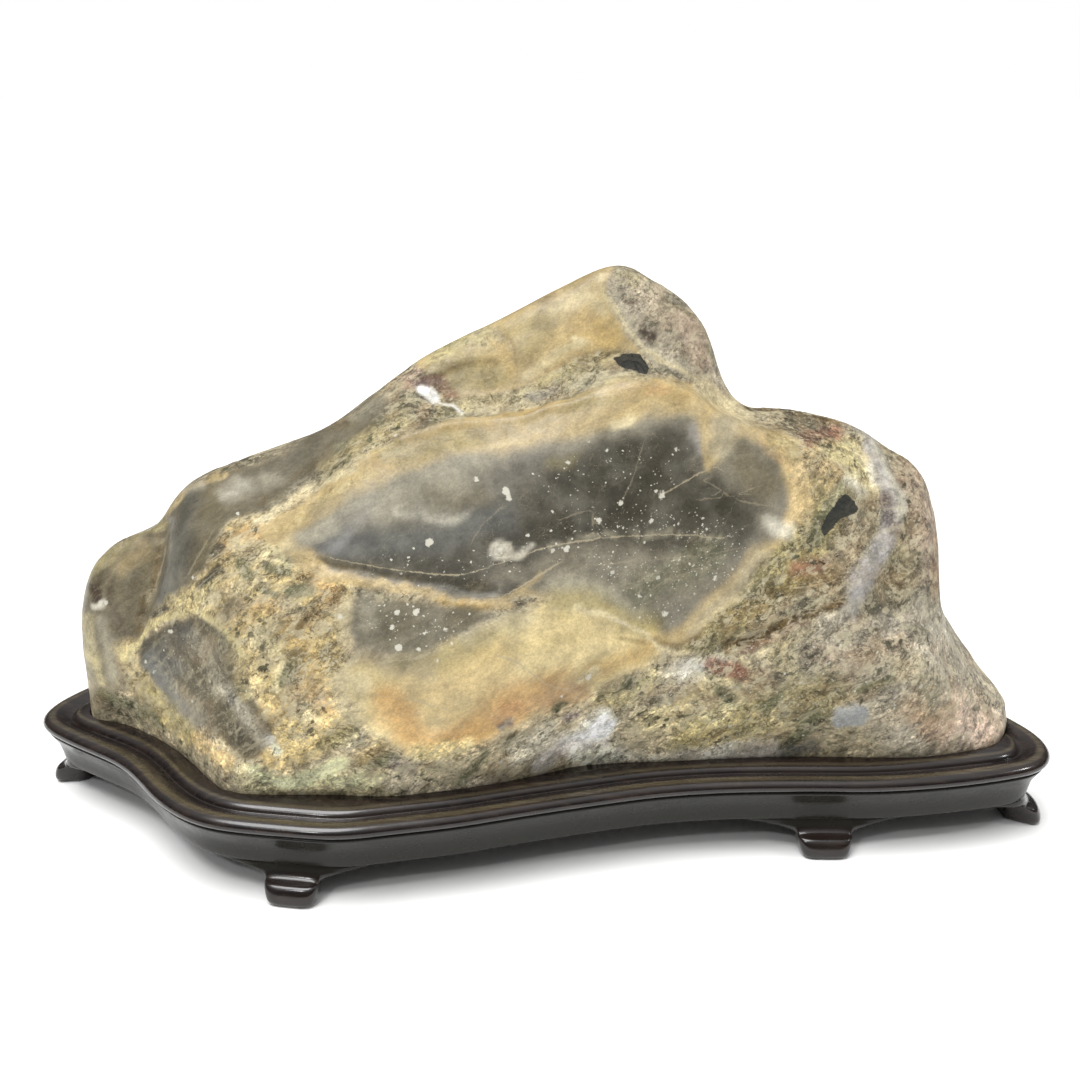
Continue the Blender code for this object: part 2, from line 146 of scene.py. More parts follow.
# Drawn from the ground up: each mark lies over the ones before it.
FACE_MARKS = [
    # right-hand and lower breccia
    area("ash", 1.0, 20, [
        (735, 400), (860, 410), (950, 520), (945, 600), (1010, 745), (640, 790), (650, 650), (770, 560),
    ]),
    area("stone_grey", 0.95, 18, [
        (800, 640), (860, 615), (930, 610), (985, 680), (1008, 740), (900, 760), (850, 700), (770, 680),
    ]),
    stroke("rose", 0.9, 14, 16, [(912, 480), (926, 510), (930, 570)], 0.6),
    stroke("rust", 0.9, 6, 12, [(812, 652), (866, 655), (905, 640)], 0.25),
    stroke("olive", 1.0, 12, 16, [(900, 668), (925, 680), (936, 706)], 0.35),
    stroke("mist", 0.7, 9, 10, [(906, 588), (930, 606), (944, 640)], 0.45),
    stroke("rust", 1.0, 9, 14, [(918, 712), (938, 730)], 0.4),
    stroke("rose", 0.8, 14, 14, [(962, 700), (992, 728)], 0.6),
    stroke("olive", 1.0, 16, 20, [(690, 735), (760, 716), (830, 690)], 0.8),
    stroke("bark", 1.0, 5, 10, [(800, 716), (832, 690)], 0.4),
    stroke("olive", 1.0, 10, 14, [(884, 540), (904, 566)], 0.5),
    stroke("bark", 1.0, 8, 10, [(794, 584), (834, 574)], 0.8),
    stroke("taupe", 1.0, 9, 11, [(852, 580), (896, 584), (904, 606)], 0.8),
    stroke("taupe", 1.0, 7, 10, [(846, 572), (860, 584)], 0.5),
    stroke("taupe", 1.0, 34, 26, [(800, 706), (850, 668), (892, 622), (912, 584)], 0.28),
    stroke("taupe", 1.0, 10, 12, [(956, 680), (984, 706)], 0.45),
    stroke("taupe", 1.0, 8, 11, [(846, 690), (882, 686)], 0.5),
    stroke("olive", 1.0, 10, 12, [(776, 638), (790, 668)], 0.5),
    stroke("taupe", 0.9, 6, 9, [(894, 504), (914, 530)], 0.7),
    stroke("taupe", 1.0, 7, 10, [(778, 712), (798, 704)], 0.5),
    stroke("taupe", 1.0, 8, 10, [(872, 712), (898, 708)], 0.45),
    stroke("sage", 1.0, 7, 9, [(712, 714), (728, 704)], 0.5),
    stroke("straw", 1.0, 9, 12, [(650, 720), (690, 690), (740, 670)], 0.5),
    stroke("mist", 0.8, 9, 10, [(664, 690), (690, 666), (716, 654)], 0.9),
    stroke("white", 0.4, 5, 8, [(686, 668), (706, 656)], 0.5),
    stroke("olive", 1.0, 22, 14, [(824, 500), (796, 552), (740, 604), (704, 630)], 0.85),
    stroke("bark", 1.0, 8, 12, [(806, 560), (772, 590), (728, 616)], 0.4),
    stroke("wheat", 0.9, 9, 10, [(812, 452), (826, 470), (836, 488)], 0.7),
    stroke("straw", 0.9, 9, 9, [(832, 448), (852, 458), (868, 484)], 0.9),
    stroke("cream", 0.3, 7, 7, [(862, 456), (872, 470), (876, 488)], 1.0),
    stroke("white", 0.3, 4, 6, [(866, 464), (874, 476)], 0.4),
    stroke("bark", 1.0, 6, 7, [(752, 404), (796, 410), (842, 420)], 0.7),
    stroke("moss", 1.0, 3, 4, [(786, 444), (796, 448)], 0.8),
    stroke("maroon", 1.0, 7, 7, [(806, 438), (834, 436)], 0.85),
    stroke("maroon", 1.0, 7, 8, [(796, 568), (820, 562)], 0.7),
    stroke("moss", 0.8, 6, 6, [(812, 538), (828, 510), (840, 490)], 0.8),
    stroke("sage", 0.8, 4, 5, [(852, 478), (832, 498)], 0.6),
    stroke("mist", 0.6, 4, 6, [(846, 484), (860, 492)], 0.7),
    stroke("bark", 0.9, 5, 8, [(776, 422), (802, 428)], 0.4),
    stroke("taupe", 1.0, 10, 12, [(908, 565), (880, 602), (856, 628)], 0.6),
    stroke("mist", 0.3, 5, 6, [(852, 424), (874, 448), (892, 478), (904, 500)], 0.8),
    stroke("lilac", 0.35, 8, 7, [
        (868, 446), (886, 480), (890, 520), (880, 552), (862, 580), (848, 612),
    ], 0.9),
    stroke("mist", 0.3, 4, 6, [(850, 600), (844, 622)], 0.8),
    stroke("stone_grey", 0.8, 8, 9, [(832, 620), (880, 628), (920, 612)], 0.8),
    stroke("lilac", 0.35, 10, 8, [(886, 540), (872, 568), (854, 592)], 0.7),
    stroke("plum", 0.7, 7, 7, [(886, 500), (896, 528)], 0.85),
    stroke("mist", 0.3, 2.5, 4, [(868, 440), (890, 470), (906, 500), (900, 520)], 0.7),
    stroke("rust", 1.0, 3, 6, [(938, 540), (938, 592)], 0.6),
    stroke("bark", 1.0, 3.5, 5, [(730, 646), (764, 634), (800, 618), (838, 602)], 0.85),
    stroke("maroon", 1.0, 2, 3, [(744, 648), (772, 638), (806, 622)], 0.7),
    stroke("cream", 0.9, 2, 4, [(740, 656), (776, 646), (812, 630)], 0.5),
    stroke("maroon", 1.0, 8, 6, [(712, 662), (742, 672)], 0.9),
    stroke("moss", 1.0, 4, 4, [(714, 690), (728, 700)], 0.85),
    stroke("moss", 1.0, 4, 4, [(760, 714), (780, 696)], 0.8),
    stroke("moss", 1.0, 6, 5, [(796, 740), (828, 708)], 0.85),
    stroke("moss", 1.0, 3, 4, [(858, 694), (892, 682)], 0.9),
    stroke("blue_grey", 0.2, 10, 4, [(842, 716), (860, 714)]),
    stroke("slate", 0.6, 6, 5, [(784, 751), (814, 746)], 0.9),
    stroke("lilac", 0.6, 6, 8, [(660, 768), (720, 756), (770, 748)], 0.85),
    stroke("mist", 0.9, 4, 7, [(630, 758), (680, 760), (740, 750)], 0.6),
    stroke("rose", 0.8, 14, 12, [(950, 724), (984, 742)], 0.5),
    # left lump
    area("taupe", 0.15, 7, [
        (84, 570), (120, 545), (168, 518), (162, 560), (150, 600), (136, 640), (120, 700), (92, 700),
        (82, 630),
    ]),
    stroke("straw", 0.35, 2.5, 5, [(86, 574), (106, 558), (130, 544), (166, 526)], 0.6),
    stroke("tan", 0.15, 6, 9, [(120, 566), (144, 552)], 0.6),
    stroke("umber", 0.4, 3.5, 5, [(92, 584), (99, 600)], 0.8),
    stroke("umber", 0.1, 2, 4, [(108, 582), (116, 606), (126, 634)], 0.45),
    stroke("haze", 0.1, 6, 7, [(104, 620), (110, 642), (118, 676)], 0.45),
    stroke("mist", 0.1, 2, 3, [(92, 603), (106, 602)], 0.9),
    stroke("straw", 0.6, 4, 5, [(88, 616), (92, 652), (102, 684)], 0.5),
    stroke("moss", 1.0, 6, 7, [(100, 702), (132, 708), (162, 726)], 0.85),
    stroke("umber", 1.0, 5, 7, [(97, 704), (112, 713)], 0.5),
    stroke("bark", 0.5, 2.5, 4, [(162, 534), (158, 566), (144, 604), (134, 628)], 0.5),
    stroke("tan", 0.8, 9, 8, [(128, 650), (150, 692), (186, 730), (224, 766)], 0.6),
    stroke("bark", 0.9, 2.5, 5, [(118, 664), (140, 700), (170, 730)], 0.4),
    stroke("straw", 0.8, 4, 6, [(124, 650), (150, 690), (190, 736)], 0.4),
    stroke("olive", 0.8, 8, 9, [(140, 678), (160, 702), (190, 738)], 0.75),
    stroke("orange", 0.9, 5, 7, [(200, 744), (226, 762)], 0.4),
    stroke("ochre", 0.9, 3, 5, [(200, 748), (214, 756), (228, 766)], 0.45),
    # upper left slope
    area("taupe", 0.05, 6, [
        (168, 508), (186, 490), (226, 474), (272, 456), (332, 420), (372, 396), (385, 410), (352, 446),
        (300, 484), (262, 510), (228, 530), (208, 562), (188, 586), (158, 610), (140, 634), (150, 600),
        (162, 560), (166, 530),
    ]),
    stroke("slate", 0.05, 8, 12, [(188, 502), (182, 545), (166, 590)], 0.6),
    stroke("smoke", 0.0, 8, 12, [(250, 482), (300, 462), (340, 434)], 0.4),
    stroke("bark", 0.1, 3, 6, [(262, 500), (300, 476), (330, 456)], 0.4),
    stroke("bark", 0.5, 6, 8, [(340, 424), (366, 408), (396, 386)], 0.4),
    stroke("tan", 0.4, 2.5, 3, [(167, 514), (180, 497), (202, 484), (230, 474)], 0.85),
    # a painted highlight on the upper left slope
    stroke("mist", 0.0, 3, 12, [(228, 493), (244, 488)], 0.7),
    stroke("haze", 0.0, 4, 10, [(262, 480), (278, 480)], 0.5),
    stroke("graphite", 0.1, 6, 9, [(270, 500), (306, 478), (340, 450)], 0.5),
    stroke("haze", 0.3, 4, 7, [(356, 420), (384, 398)], 0.6),
    stroke("mist", 0.2, 3, 7, [(184, 494), (202, 485)], 0.5),
    # ochre breccia
    area("ochre", 1.0, 7, [
        (142, 632), (158, 616), (204, 570), (226, 536), (262, 514), (306, 520), (326, 560), (350, 592),
        (346, 640), (334, 690), (346, 730), (300, 764), (262, 764), (262, 715), (240, 660), (225, 632),
        (195, 612), (160, 622),
    ]),
    stroke("orange", 0.9, 6, 8, [(230, 546), (262, 528)], 0.75),
    stroke("orange", 0.9, 8, 10, [(316, 572), (332, 600)], 0.65),
    stroke("orange", 0.8, 9, 9, [(296, 684), (324, 700)], 0.7),
    stroke("orange", 0.9, 5, 7, [(262, 604), (284, 616)], 0.5),
    stroke("sage", 0.8, 8, 8, [(240, 548), (262, 550), (296, 556)], 0.7),
    stroke("cream", 0.8, 7, 8, [(206, 600), (232, 592), (256, 578)], 0.6),
    stroke("sage", 0.9, 7, 8, [(256, 636), (284, 652), (276, 690)], 0.6),
    stroke("ash", 0.9, 8, 9, [(282, 606), (304, 620)], 0.75),
    stroke("gold", 1.0, 12, 12, [(290, 630), (308, 668)], 0.6),
    stroke("bark", 1.0, 2, 3, [(318, 664), (306, 690), (284, 712)], 0.5),
    stroke("straw", 1.0, 8, 9, [(180, 606), (214, 584)], 0.6),
    stroke("moss", 0.9, 6, 5, [(238, 562), (250, 572)], 0.8),
    stroke("moss", 0.9, 4, 4, [(268, 566), (286, 568)], 0.85),
    stroke("night", 0.7, 3.5, 3.5, [(213, 556), (222, 547)], 0.85),
    stroke("night", 0.7, 3, 3, [(200, 584), (218, 570)], 0.9),
    stroke("night", 0.7, 3, 3, [(156, 616), (166, 610)], 0.9),
    stroke("moss", 0.7, 7, 5, [(290, 592), (308, 590)], 0.9),
    stroke("moss", 0.8, 3, 3, [(264, 590), (274, 594)], 0.9),
    stroke("taupe", 0.6, 7, 5, [(226, 618), (242, 606)], 0.85),
    stroke("bark", 0.9, 2.5, 3, [(300, 632), (316, 614), (332, 606)], 0.75),
    stroke("moss", 0.8, 8, 6, [(286, 676), (296, 654)], 0.75),
    stroke("bark", 0.8, 2, 3, [(262, 690), (282, 700)], 0.6),
    stroke("moss", 0.9, 3, 3, [(300, 724), (312, 716)], 0.6),
    stroke("cream", 0.8, 7, 9, [(300, 690), (306, 712)], 0.5),
    stroke("cream", 0.9, 5, 7, [(258, 640), (272, 662)], 0.45),
    stroke("cream", 0.9, 6, 7, [(296, 706), (310, 722)], 0.5),
    stroke("moss", 0.9, 5, 6, [(322, 744), (334, 736)], 0.5),
    # lower left lens
    area("graphite", 0.45, 3, [
        (138, 652), (150, 638), (170, 626), (207, 619), (230, 641), (239, 682), (262, 712), (272, 736),
        (254, 760), (232, 750), (198, 716), (160, 688),
    ]),
    stroke("night", 0.1, 9, 10, [(150, 654), (164, 656), (182, 636)], 0.7),
    stroke("slate", 0.1, 6, 8, [(150, 662), (172, 692), (200, 722)], 0.8),
    stroke("haze", 0.8, 6, 9, [(196, 640), (212, 664), (222, 690)], 0.45),
    stroke("mist", 0.9, 5, 9, [(228, 694), (250, 724), (262, 740)], 0.35),
    stroke("ash", 0.9, 4, 7, [(176, 686), (206, 722)], 0.35),
    stroke("slate", 0.5, 6, 9, [(156, 664), (178, 672)], 0.5),
    stroke("night", 0.6, 5, 8, [(226, 726), (250, 750)], 0.6),
    stroke("straw", 0.8, 5, 7, [(240, 658), (244, 690)], 0.7),
    stroke("straw", 0.5, 2.5, 3, [
        (126, 660), (141, 636), (162, 621), (188, 613), (206, 615), (226, 633), (242, 654),
    ], 0.95),
    # bottom fringe
    stroke("sage", 0.9, 10, 8, [(246, 776), (300, 786), (360, 788), (430, 786)], 0.7),
    stroke("cream", 1.0, 4, 5, [(256, 768), (268, 778), (288, 788)], 0.8),
    stroke("white", 1.0, 2.5, 4, [(268, 738), (280, 752)], 0.4),
    stroke("sage", 0.35, 6, 5, [(284, 782), (316, 774), (342, 762)], 0.9),
    # a dark line painted where the stone meets its seat, standing in for the shade there
    stroke("night", 1.0, 3, 4, [(276, 790), (320, 794), (380, 794)], 0.5),
    stroke("haze", 1.0, 9, 8, [(350, 740), (372, 716), (362, 690)], 0.5),
    stroke("moss", 1.0, 6, 5, [(366, 762), (392, 764)], 0.9),
    stroke("cream", 0.9, 6, 6, [(288, 776), (340, 782), (420, 780)], 0.35),
    stroke("plum", 1.0, 6, 6, [(392, 768), (412, 774)], 0.7),
    stroke("sage", 0.8, 6, 6, [(334, 784), (356, 774)], 0.8),
    stroke("ochre", 1.0, 6, 8, [(362, 756), (380, 748)], 0.6),
    stroke("straw", 0.9, 7, 8, [(338, 738), (352, 728)], 0.7),
    stroke("stone_grey", 1.0, 7, 7, [(392, 786), (440, 788), (500, 780)], 0.8),
    # tan field above the great lens
    area("tan", 0.1, 5, [
        (256, 526), (306, 500), (354, 464), (395, 434), (440, 420), (490, 414), (540, 406), (590, 388),
        (640, 376), (690, 386), (738, 410), (786, 440), (800, 486), (784, 530), (740, 590), (690, 640),
        (640, 640), (560, 596), (440, 596), (330, 580), (290, 556),
    ]),
    stroke("ochre", 0.4, 4, 5, [(280, 530), (330, 498), (384, 462), (420, 442)], 0.8),
    stroke("cream", 0.5, 3, 3, [(258, 520), (286, 505), (319, 486), (352, 468)], 0.85),
    stroke("gold", 0.08, 9, 8, [(380, 458), (440, 440), (500, 428), (560, 412)], 0.9),
    stroke("olive", 0.15, 9, 9, [(396, 454), (440, 444), (480, 434)], 0.5),
    stroke("cream", 0.05, 3, 6, [(470, 448), (510, 441)], 0.2),
    stroke("gold", 0.08, 6, 8, [(610, 392), (650, 386), (696, 394)], 0.6),
    stroke("olive", 0.15, 6, 9, [(382, 454), (416, 444), (480, 436), (560, 416), (610, 396)], 0.45),
    stroke("orange", 0.2, 3, 3, [(654, 388), (666, 388)], 0.6),
    stroke("sage", 0.1, 3, 6, [(560, 392), (610, 380), (650, 374)], 0.3),
    stroke("wheat", 0.3, 11, 9, [(776, 440), (800, 476), (794, 512)], 0.85),
    stroke("orange", 0.3, 5, 8, [(762, 440), (780, 460)], 0.5),
    stroke("olive", 0.4, 8, 8, [(772, 440), (794, 454)], 0.6),
    stroke("olive", 0.3, 5, 6, [(380, 452), (398, 442)], 0.6),
    stroke("cream", 0.05, 5, 7, [(286, 546), (308, 536)], 0.45),
    # the great lens
    area("smoke", 0.0, 7, [
        (299, 546), (318, 524), (345, 503), (378, 484), (412, 468), (455, 456), (520, 450), (590, 434),
        (640, 418), (690, 416), (702, 438), (706, 460), (716, 460), (745, 434), (776, 462), (788, 500),
        (776, 532), (752, 556), (727, 584), (697, 612), (670, 634), (640, 622), (600, 606), (560, 592),
        (520, 588), (495, 598), (440, 592), (380, 580),
    ]),
    # the pale haze over the lens's upper left is partly the stone's own haze, partly a painted highlight
    stroke("haze", 0.0, 10, 12, [(330, 516), (380, 488), (430, 470), (480, 462)], 0.35),
    area("chert", 0.0, 10, [
        (470, 496), (500, 474), (560, 460), (600, 448), (640, 434), (690, 430), (700, 466), (740, 500),
        (752, 540), (700, 556), (620, 548), (540, 560), (480, 590), (400, 572), (314, 554), (350, 538),
        (410, 526), (450, 524),
    ]),
    stroke("smoke", 0.0, 9, 12, [(470, 500), (500, 488), (540, 478)], 0.5),
    stroke("night", 0.0, 14, 22, [(570, 486), (640, 468), (686, 482), (740, 512)], 0.7),
    stroke("night", 0.0, 8, 12, [(540, 528), (620, 516), (700, 514)], 0.5),
    stroke("slate", 0.0, 12, 14, [(330, 545), (400, 545), (500, 520)], 0.6),
    # this haze, the whiter line under it and the thin haze along the lens's top edge are partly the stone's
    # own haze, partly a painted highlight
    stroke("haze", 0.0, 8, 16, [(380, 508), (410, 494), (452, 484)], 0.55),
    stroke("mist", 0.0, 2, 9, [(400, 512), (440, 518), (466, 514)], 0.45),
    stroke("taupe", 0.0, 7, 10, [(430, 494), (480, 498)], 0.5),
    stroke("haze", 0.0, 3, 8, [
        (440, 466), (500, 456), (560, 446), (610, 430), (650, 416), (692, 418),
    ], 0.25),
    stroke("olive", 0.2, 4, 6, [(552, 466), (572, 460)], 0.4),
    stroke("taupe", 0.1, 12, 12, [(738, 452), (764, 486)], 0.8),
    stroke("smoke", 0.15, 16, 16, [(556, 574), (600, 566), (650, 574), (700, 572)], 0.8),
    stroke("haze", 0.15, 8, 12, [(556, 586), (600, 594), (636, 612)], 0.6),
    stroke("moss", 0.5, 12, 14, [(640, 592), (680, 572), (716, 552)], 0.55),
    stroke("lilac", 0.05, 3, 6, [(694, 428), (700, 450)], 0.5),
    stroke("haze", 0.1, 4, 8, [(696, 628), (734, 592), (760, 558)], 0.5),
    # darkest along the crease under the great lens: partly the lens's own dark edge, partly painted shade in
    # the crease
    area("night", 0.15, 3, [
        (314, 559), (380, 571), (440, 578), (492, 575), (520, 584), (498, 598), (440, 592), (380, 583),
        (334, 571),
    ], 0.75),
    stroke("haze", 0.1, 8, 11, [(726, 424), (718, 446)], 0.6),
    stroke("haze", 0.05, 6, 9, [(306, 537), (332, 529)], 0.8),
    stroke("smoke", 0.1, 7, 9, [(494, 577), (514, 571)], 0.7),
    stroke("smoke", 0.0, 6, 8, [(694, 462), (704, 474)], 0.6),
    stroke("tan", 0.1, 1.5, 4, [(714, 420), (705, 446), (708, 466)], 0.7),
    stroke("haze", 0.1, 1.0, 3, [(548, 548), (584, 540), (622, 537), (680, 535), (722, 538)], 0.6),
    stroke("mist", 0.15, 6, 7, [(770, 524), (784, 527)], 0.8),
    area("mist", 0.35, 2.5, [
        (489, 561), (492, 551), (499, 543), (508, 542), (513, 548), (524, 545), (532, 543), (524, 551),
        (509, 556), (500, 561),
    ], 0.9),
    stroke("tan", 0.3, 4, 3.5, [(296, 560), (330, 577), (377, 588), (428, 597), (479, 604), (508, 602)]),
    stroke("gold", 0.3, 4, 4, [(440, 600), (486, 606)], 0.9),
    stroke("tan", 0.2, 1.5, 3, [(501, 598), (520, 586), (542, 573)], 0.7),
    # small lens and nose under the fold
    area("butter", 0.05, 9, [
        (352, 660), (400, 664), (450, 644), (500, 618), (540, 602), (584, 600), (622, 614), (656, 640),
        (660, 656), (636, 672), (600, 690), (560, 702), (520, 722), (470, 748), (430, 756), (392, 746),
        (362, 722), (340, 690),
    ]),
    area("tan", 0.05, 12, [(390, 672), (460, 650), (510, 640), (500, 690), (440, 730), (400, 720)], 0.75),
    area("lens_grey", 0.12, 7, [
        (340, 612), (364, 604), (400, 605), (450, 607), (496, 611), (472, 628), (440, 644), (400, 658),
        (366, 652), (346, 640),
    ]),
    stroke("smoke", 0.05, 9, 13, [(352, 636), (362, 652), (386, 664), (430, 664)], 0.55),
    stroke("olive", 0.05, 4, 9, [(396, 664), (440, 652), (480, 634)], 0.4),
    stroke("graphite", 0.12, 8, 9, [(392, 628), (430, 622), (470, 616)], 0.7),
    stroke("haze", 0.05, 7, 12, [(470, 640), (520, 616)], 0.45),
    stroke("cream", 0.05, 9, 9, [(342, 678), (358, 684)], 0.85),
    stroke("cream", 0.5, 5, 7, [(344, 604), (344, 640)], 0.75),
    stroke("haze", 0.1, 5, 9, [(362, 600), (368, 626)], 0.6),
    stroke("olive", 0.05, 7, 12, [(446, 664), (486, 640), (512, 618)], 0.45),
    stroke("olive", 0.1, 8, 12, [(556, 600), (592, 602), (634, 622), (652, 628)], 0.65),
    stroke("amber", 0.1, 12, 14, [(384, 702), (400, 716), (410, 732)], 0.8),
    stroke("amber", 0.1, 8, 14, [(430, 742), (470, 722), (510, 696), (560, 684)], 0.75),
    stroke("amber", 0.15, 10, 11, [(452, 744), (482, 731), (516, 712)], 0.8),
    stroke("bark", 0.15, 8, 11, [(456, 742), (484, 730)], 0.3),
    stroke("rust", 0.3, 6, 9, [(500, 712), (540, 702), (580, 690)], 0.6),
    stroke("gold", 0.1, 6, 10, [(590, 676), (624, 662), (650, 646)], 0.9),
    stroke("cream", 0.5, 3, 4, [(584, 682), (596, 674)], 0.8),
    stroke("bark", 0.2, 1.5, 3, [(620, 640), (642, 644)], 0.4),
    stroke("cream", 0.3, 2.0, 4, [(576, 606), (610, 617), (640, 634), (664, 648), (694, 650)], 0.7),
    stroke("bark", 0.3, 1.5, 3, [(656, 640), (676, 643), (700, 634)], 0.5),
    stroke("cream", 0.4, 7, 10, [(338, 696), (350, 710)], 0.6),
    stroke("straw", 0.8, 7, 8, [(420, 752), (466, 748)], 0.7),
    stroke("ash", 1.0, 12, 9, [(440, 776), (520, 748), (600, 716), (664, 690)], 0.85),
    stroke("moss", 0.9, 4, 4, [(460, 780), (484, 756)], 0.9),
    stroke("plum", 0.9, 4, 4, [(502, 728), (512, 722)], 0.9),
    stroke("moss", 0.9, 3, 3, [(508, 746), (516, 740)], 0.9),
    stroke("plum", 0.8, 4, 4, [(566, 720), (576, 716)], 0.85),
    stroke("moss", 0.9, 3.5, 3.5, [(556, 706), (562, 702)], 0.9),
    stroke("moss", 0.9, 4, 4, [(620, 690), (626, 684)], 0.9),
    stroke("moss", 0.9, 4, 4, [(636, 690), (642, 682)], 0.9),
    stroke("straw", 0.9, 6, 7, [(600, 700), (632, 700), (650, 676)], 0.6),
    stroke("olive", 0.9, 5, 7, [(602, 714), (622, 706)], 0.4),
    stroke("white", 0.4, 9, 10, [(572, 748), (590, 738), (602, 724)], 0.85),
    stroke("lilac", 0.4, 7, 8, [(540, 762), (562, 750), (600, 748)], 0.85),
    stroke("mist", 0.9, 4, 6, [(590, 764), (630, 756)], 0.6),
    stroke("mist", 0.8, 7, 9, [(580, 760), (616, 750)], 0.8),
    stroke("mist", 0.9, 7, 10, [(516, 757), (548, 732)], 0.6),
    # peak
    area("tan", 0.12, 5, [
        (416, 352), (464, 320), (514, 296), (564, 270), (604, 254), (618, 274), (614, 310), (626, 336),
        (652, 352), (600, 358), (560, 372), (520, 386), (480, 398), (450, 398), (438, 382),
    ]),
    area("olive", 0.1, 9, [(502, 330), (560, 306), (548, 346), (524, 362), (514, 352)], 0.5),
    stroke("straw", 0.5, 8, 7, [(436, 352), (466, 338), (490, 336)], 0.8),
    area("olive", 0.25, 9, [(428, 366), (470, 354), (500, 362), (508, 378), (470, 390), (440, 392)], 0.65),
    stroke("cream", 0.05, 5, 10, [(552, 308), (584, 296), (602, 304)], 0.6),
    stroke("rose", 0.1, 1.5, 3, [(500, 312), (540, 292), (576, 274), (600, 264)], 0.7),
    stroke("bark", 0.2, 1.0, 2.5, [(500, 320), (530, 304), (556, 292)], 0.4),
    stroke("gold", 0.05, 10, 12, [(586, 326), (606, 342)], 0.6),
    stroke("cream", 0.05, 2.5, 6, [(584, 346), (550, 362), (524, 376)], 0.7),
    stroke("cream", 0.1, 1.5, 2, [(576, 342), (580, 345)], 0.9),
    stroke("bark", 0.2, 1.0, 2.5, [(494, 330), (508, 344), (515, 366)], 0.4),
    stroke("straw", 0.6, 6, 6, [(448, 352), (474, 344), (492, 342)], 0.5),
    stroke("gold", 0.2, 3, 4, [(492, 338), (504, 356), (510, 370)], 0.5),
    stroke("bark", 0.2, 1.5, 5, [(430, 384), (444, 370), (466, 364), (496, 362)], 0.5),
    stroke("straw", 0.9, 7, 5, [(440, 412), (500, 400), (546, 388), (590, 370), (612, 360)], 0.5),
    stroke("cream", 0.9, 3, 4, [(482, 408), (530, 404), (560, 388)], 0.7),
    stroke("stone_grey", 0.7, 4, 4, [(530, 398), (552, 390)], 0.8),
    stroke("moss", 0.6, 1.0, 2.5, [(412, 424), (450, 416), (500, 412)], 0.6),
    stroke("moss", 0.6, 1.0, 2.5, [(540, 406), (570, 398), (590, 386)], 0.6),
    stroke("bark", 0.6, 1.0, 2.5, [(544, 372), (570, 364), (606, 352)], 0.3),
    stroke("straw", 0.9, 4, 5, [(540, 382), (572, 372), (600, 362)], 0.6),
    stroke("cream", 0.4, 3, 3, [(478, 412), (500, 408)], 0.9),
    stroke("moss", 0.9, 5, 6, [(344, 450), (384, 424), (410, 402), (420, 390)], 0.55),
    stroke("straw", 0.9, 6, 8, [(326, 472), (364, 442), (404, 416)], 0.6),
    stroke("maroon", 0.7, 6, 5, [(412, 386), (434, 380), (448, 392)], 0.8),
    stroke("rose", 0.8, 4, 4, [(404, 376), (420, 368)], 0.8),
    stroke("plum", 0.5, 4, 5, [(418, 384), (436, 382)], 0.5),
    # A painted glint: a white splash with a thin tail over a small hollow.
    stroke("white", 0.1, 4.5, 3, [(423, 391), (432, 398)]),
    stroke("white", 0.1, 1.0, 2.0, [(430, 399), (445, 405), (460, 412)], 0.8),
    stroke("cream", 0.05, 4, 5, [(618, 424), (628, 418)], 0.9),
    area("pepper", 0.7, 4, [
        (613, 274), (624, 262), (652, 276), (694, 300), (718, 328), (730, 380), (740, 410), (700, 390),
        (665, 368), (645, 352), (626, 332), (611, 308),
    ]),
    stroke("haze", 0.3, 4, 6, [(618, 300), (624, 322), (644, 344), (680, 368)], 0.6),
    stroke("rose", 0.7, 8, 9, [(684, 322), (704, 362)], 0.5),
    stroke("olive", 0.7, 5, 7, [(620, 276), (640, 282)], 0.5),
    stroke("umber", 0.7, 2, 3, [(626, 300), (636, 303)], 0.8),
    stroke("umber", 0.6, 3, 3, [(647, 329), (655, 336)], 0.85),
    stroke("moss", 0.8, 2, 3, [(668, 304), (690, 318)], 0.7),
    stroke("moss", 0.8, 2, 3, [(706, 344), (712, 356)], 0.7),
    # a pale line along the peak's ridge, painted as the ridge's highlight
    stroke("cream", 0.2, 1.5, 3, [
        (603, 276), (610, 300), (626, 328), (655, 352), (700, 386), (738, 410),
    ], 0.85),
    stroke("cream", 0.4, 6, 8, [(700, 388), (722, 402), (742, 416)], 0.95),
]

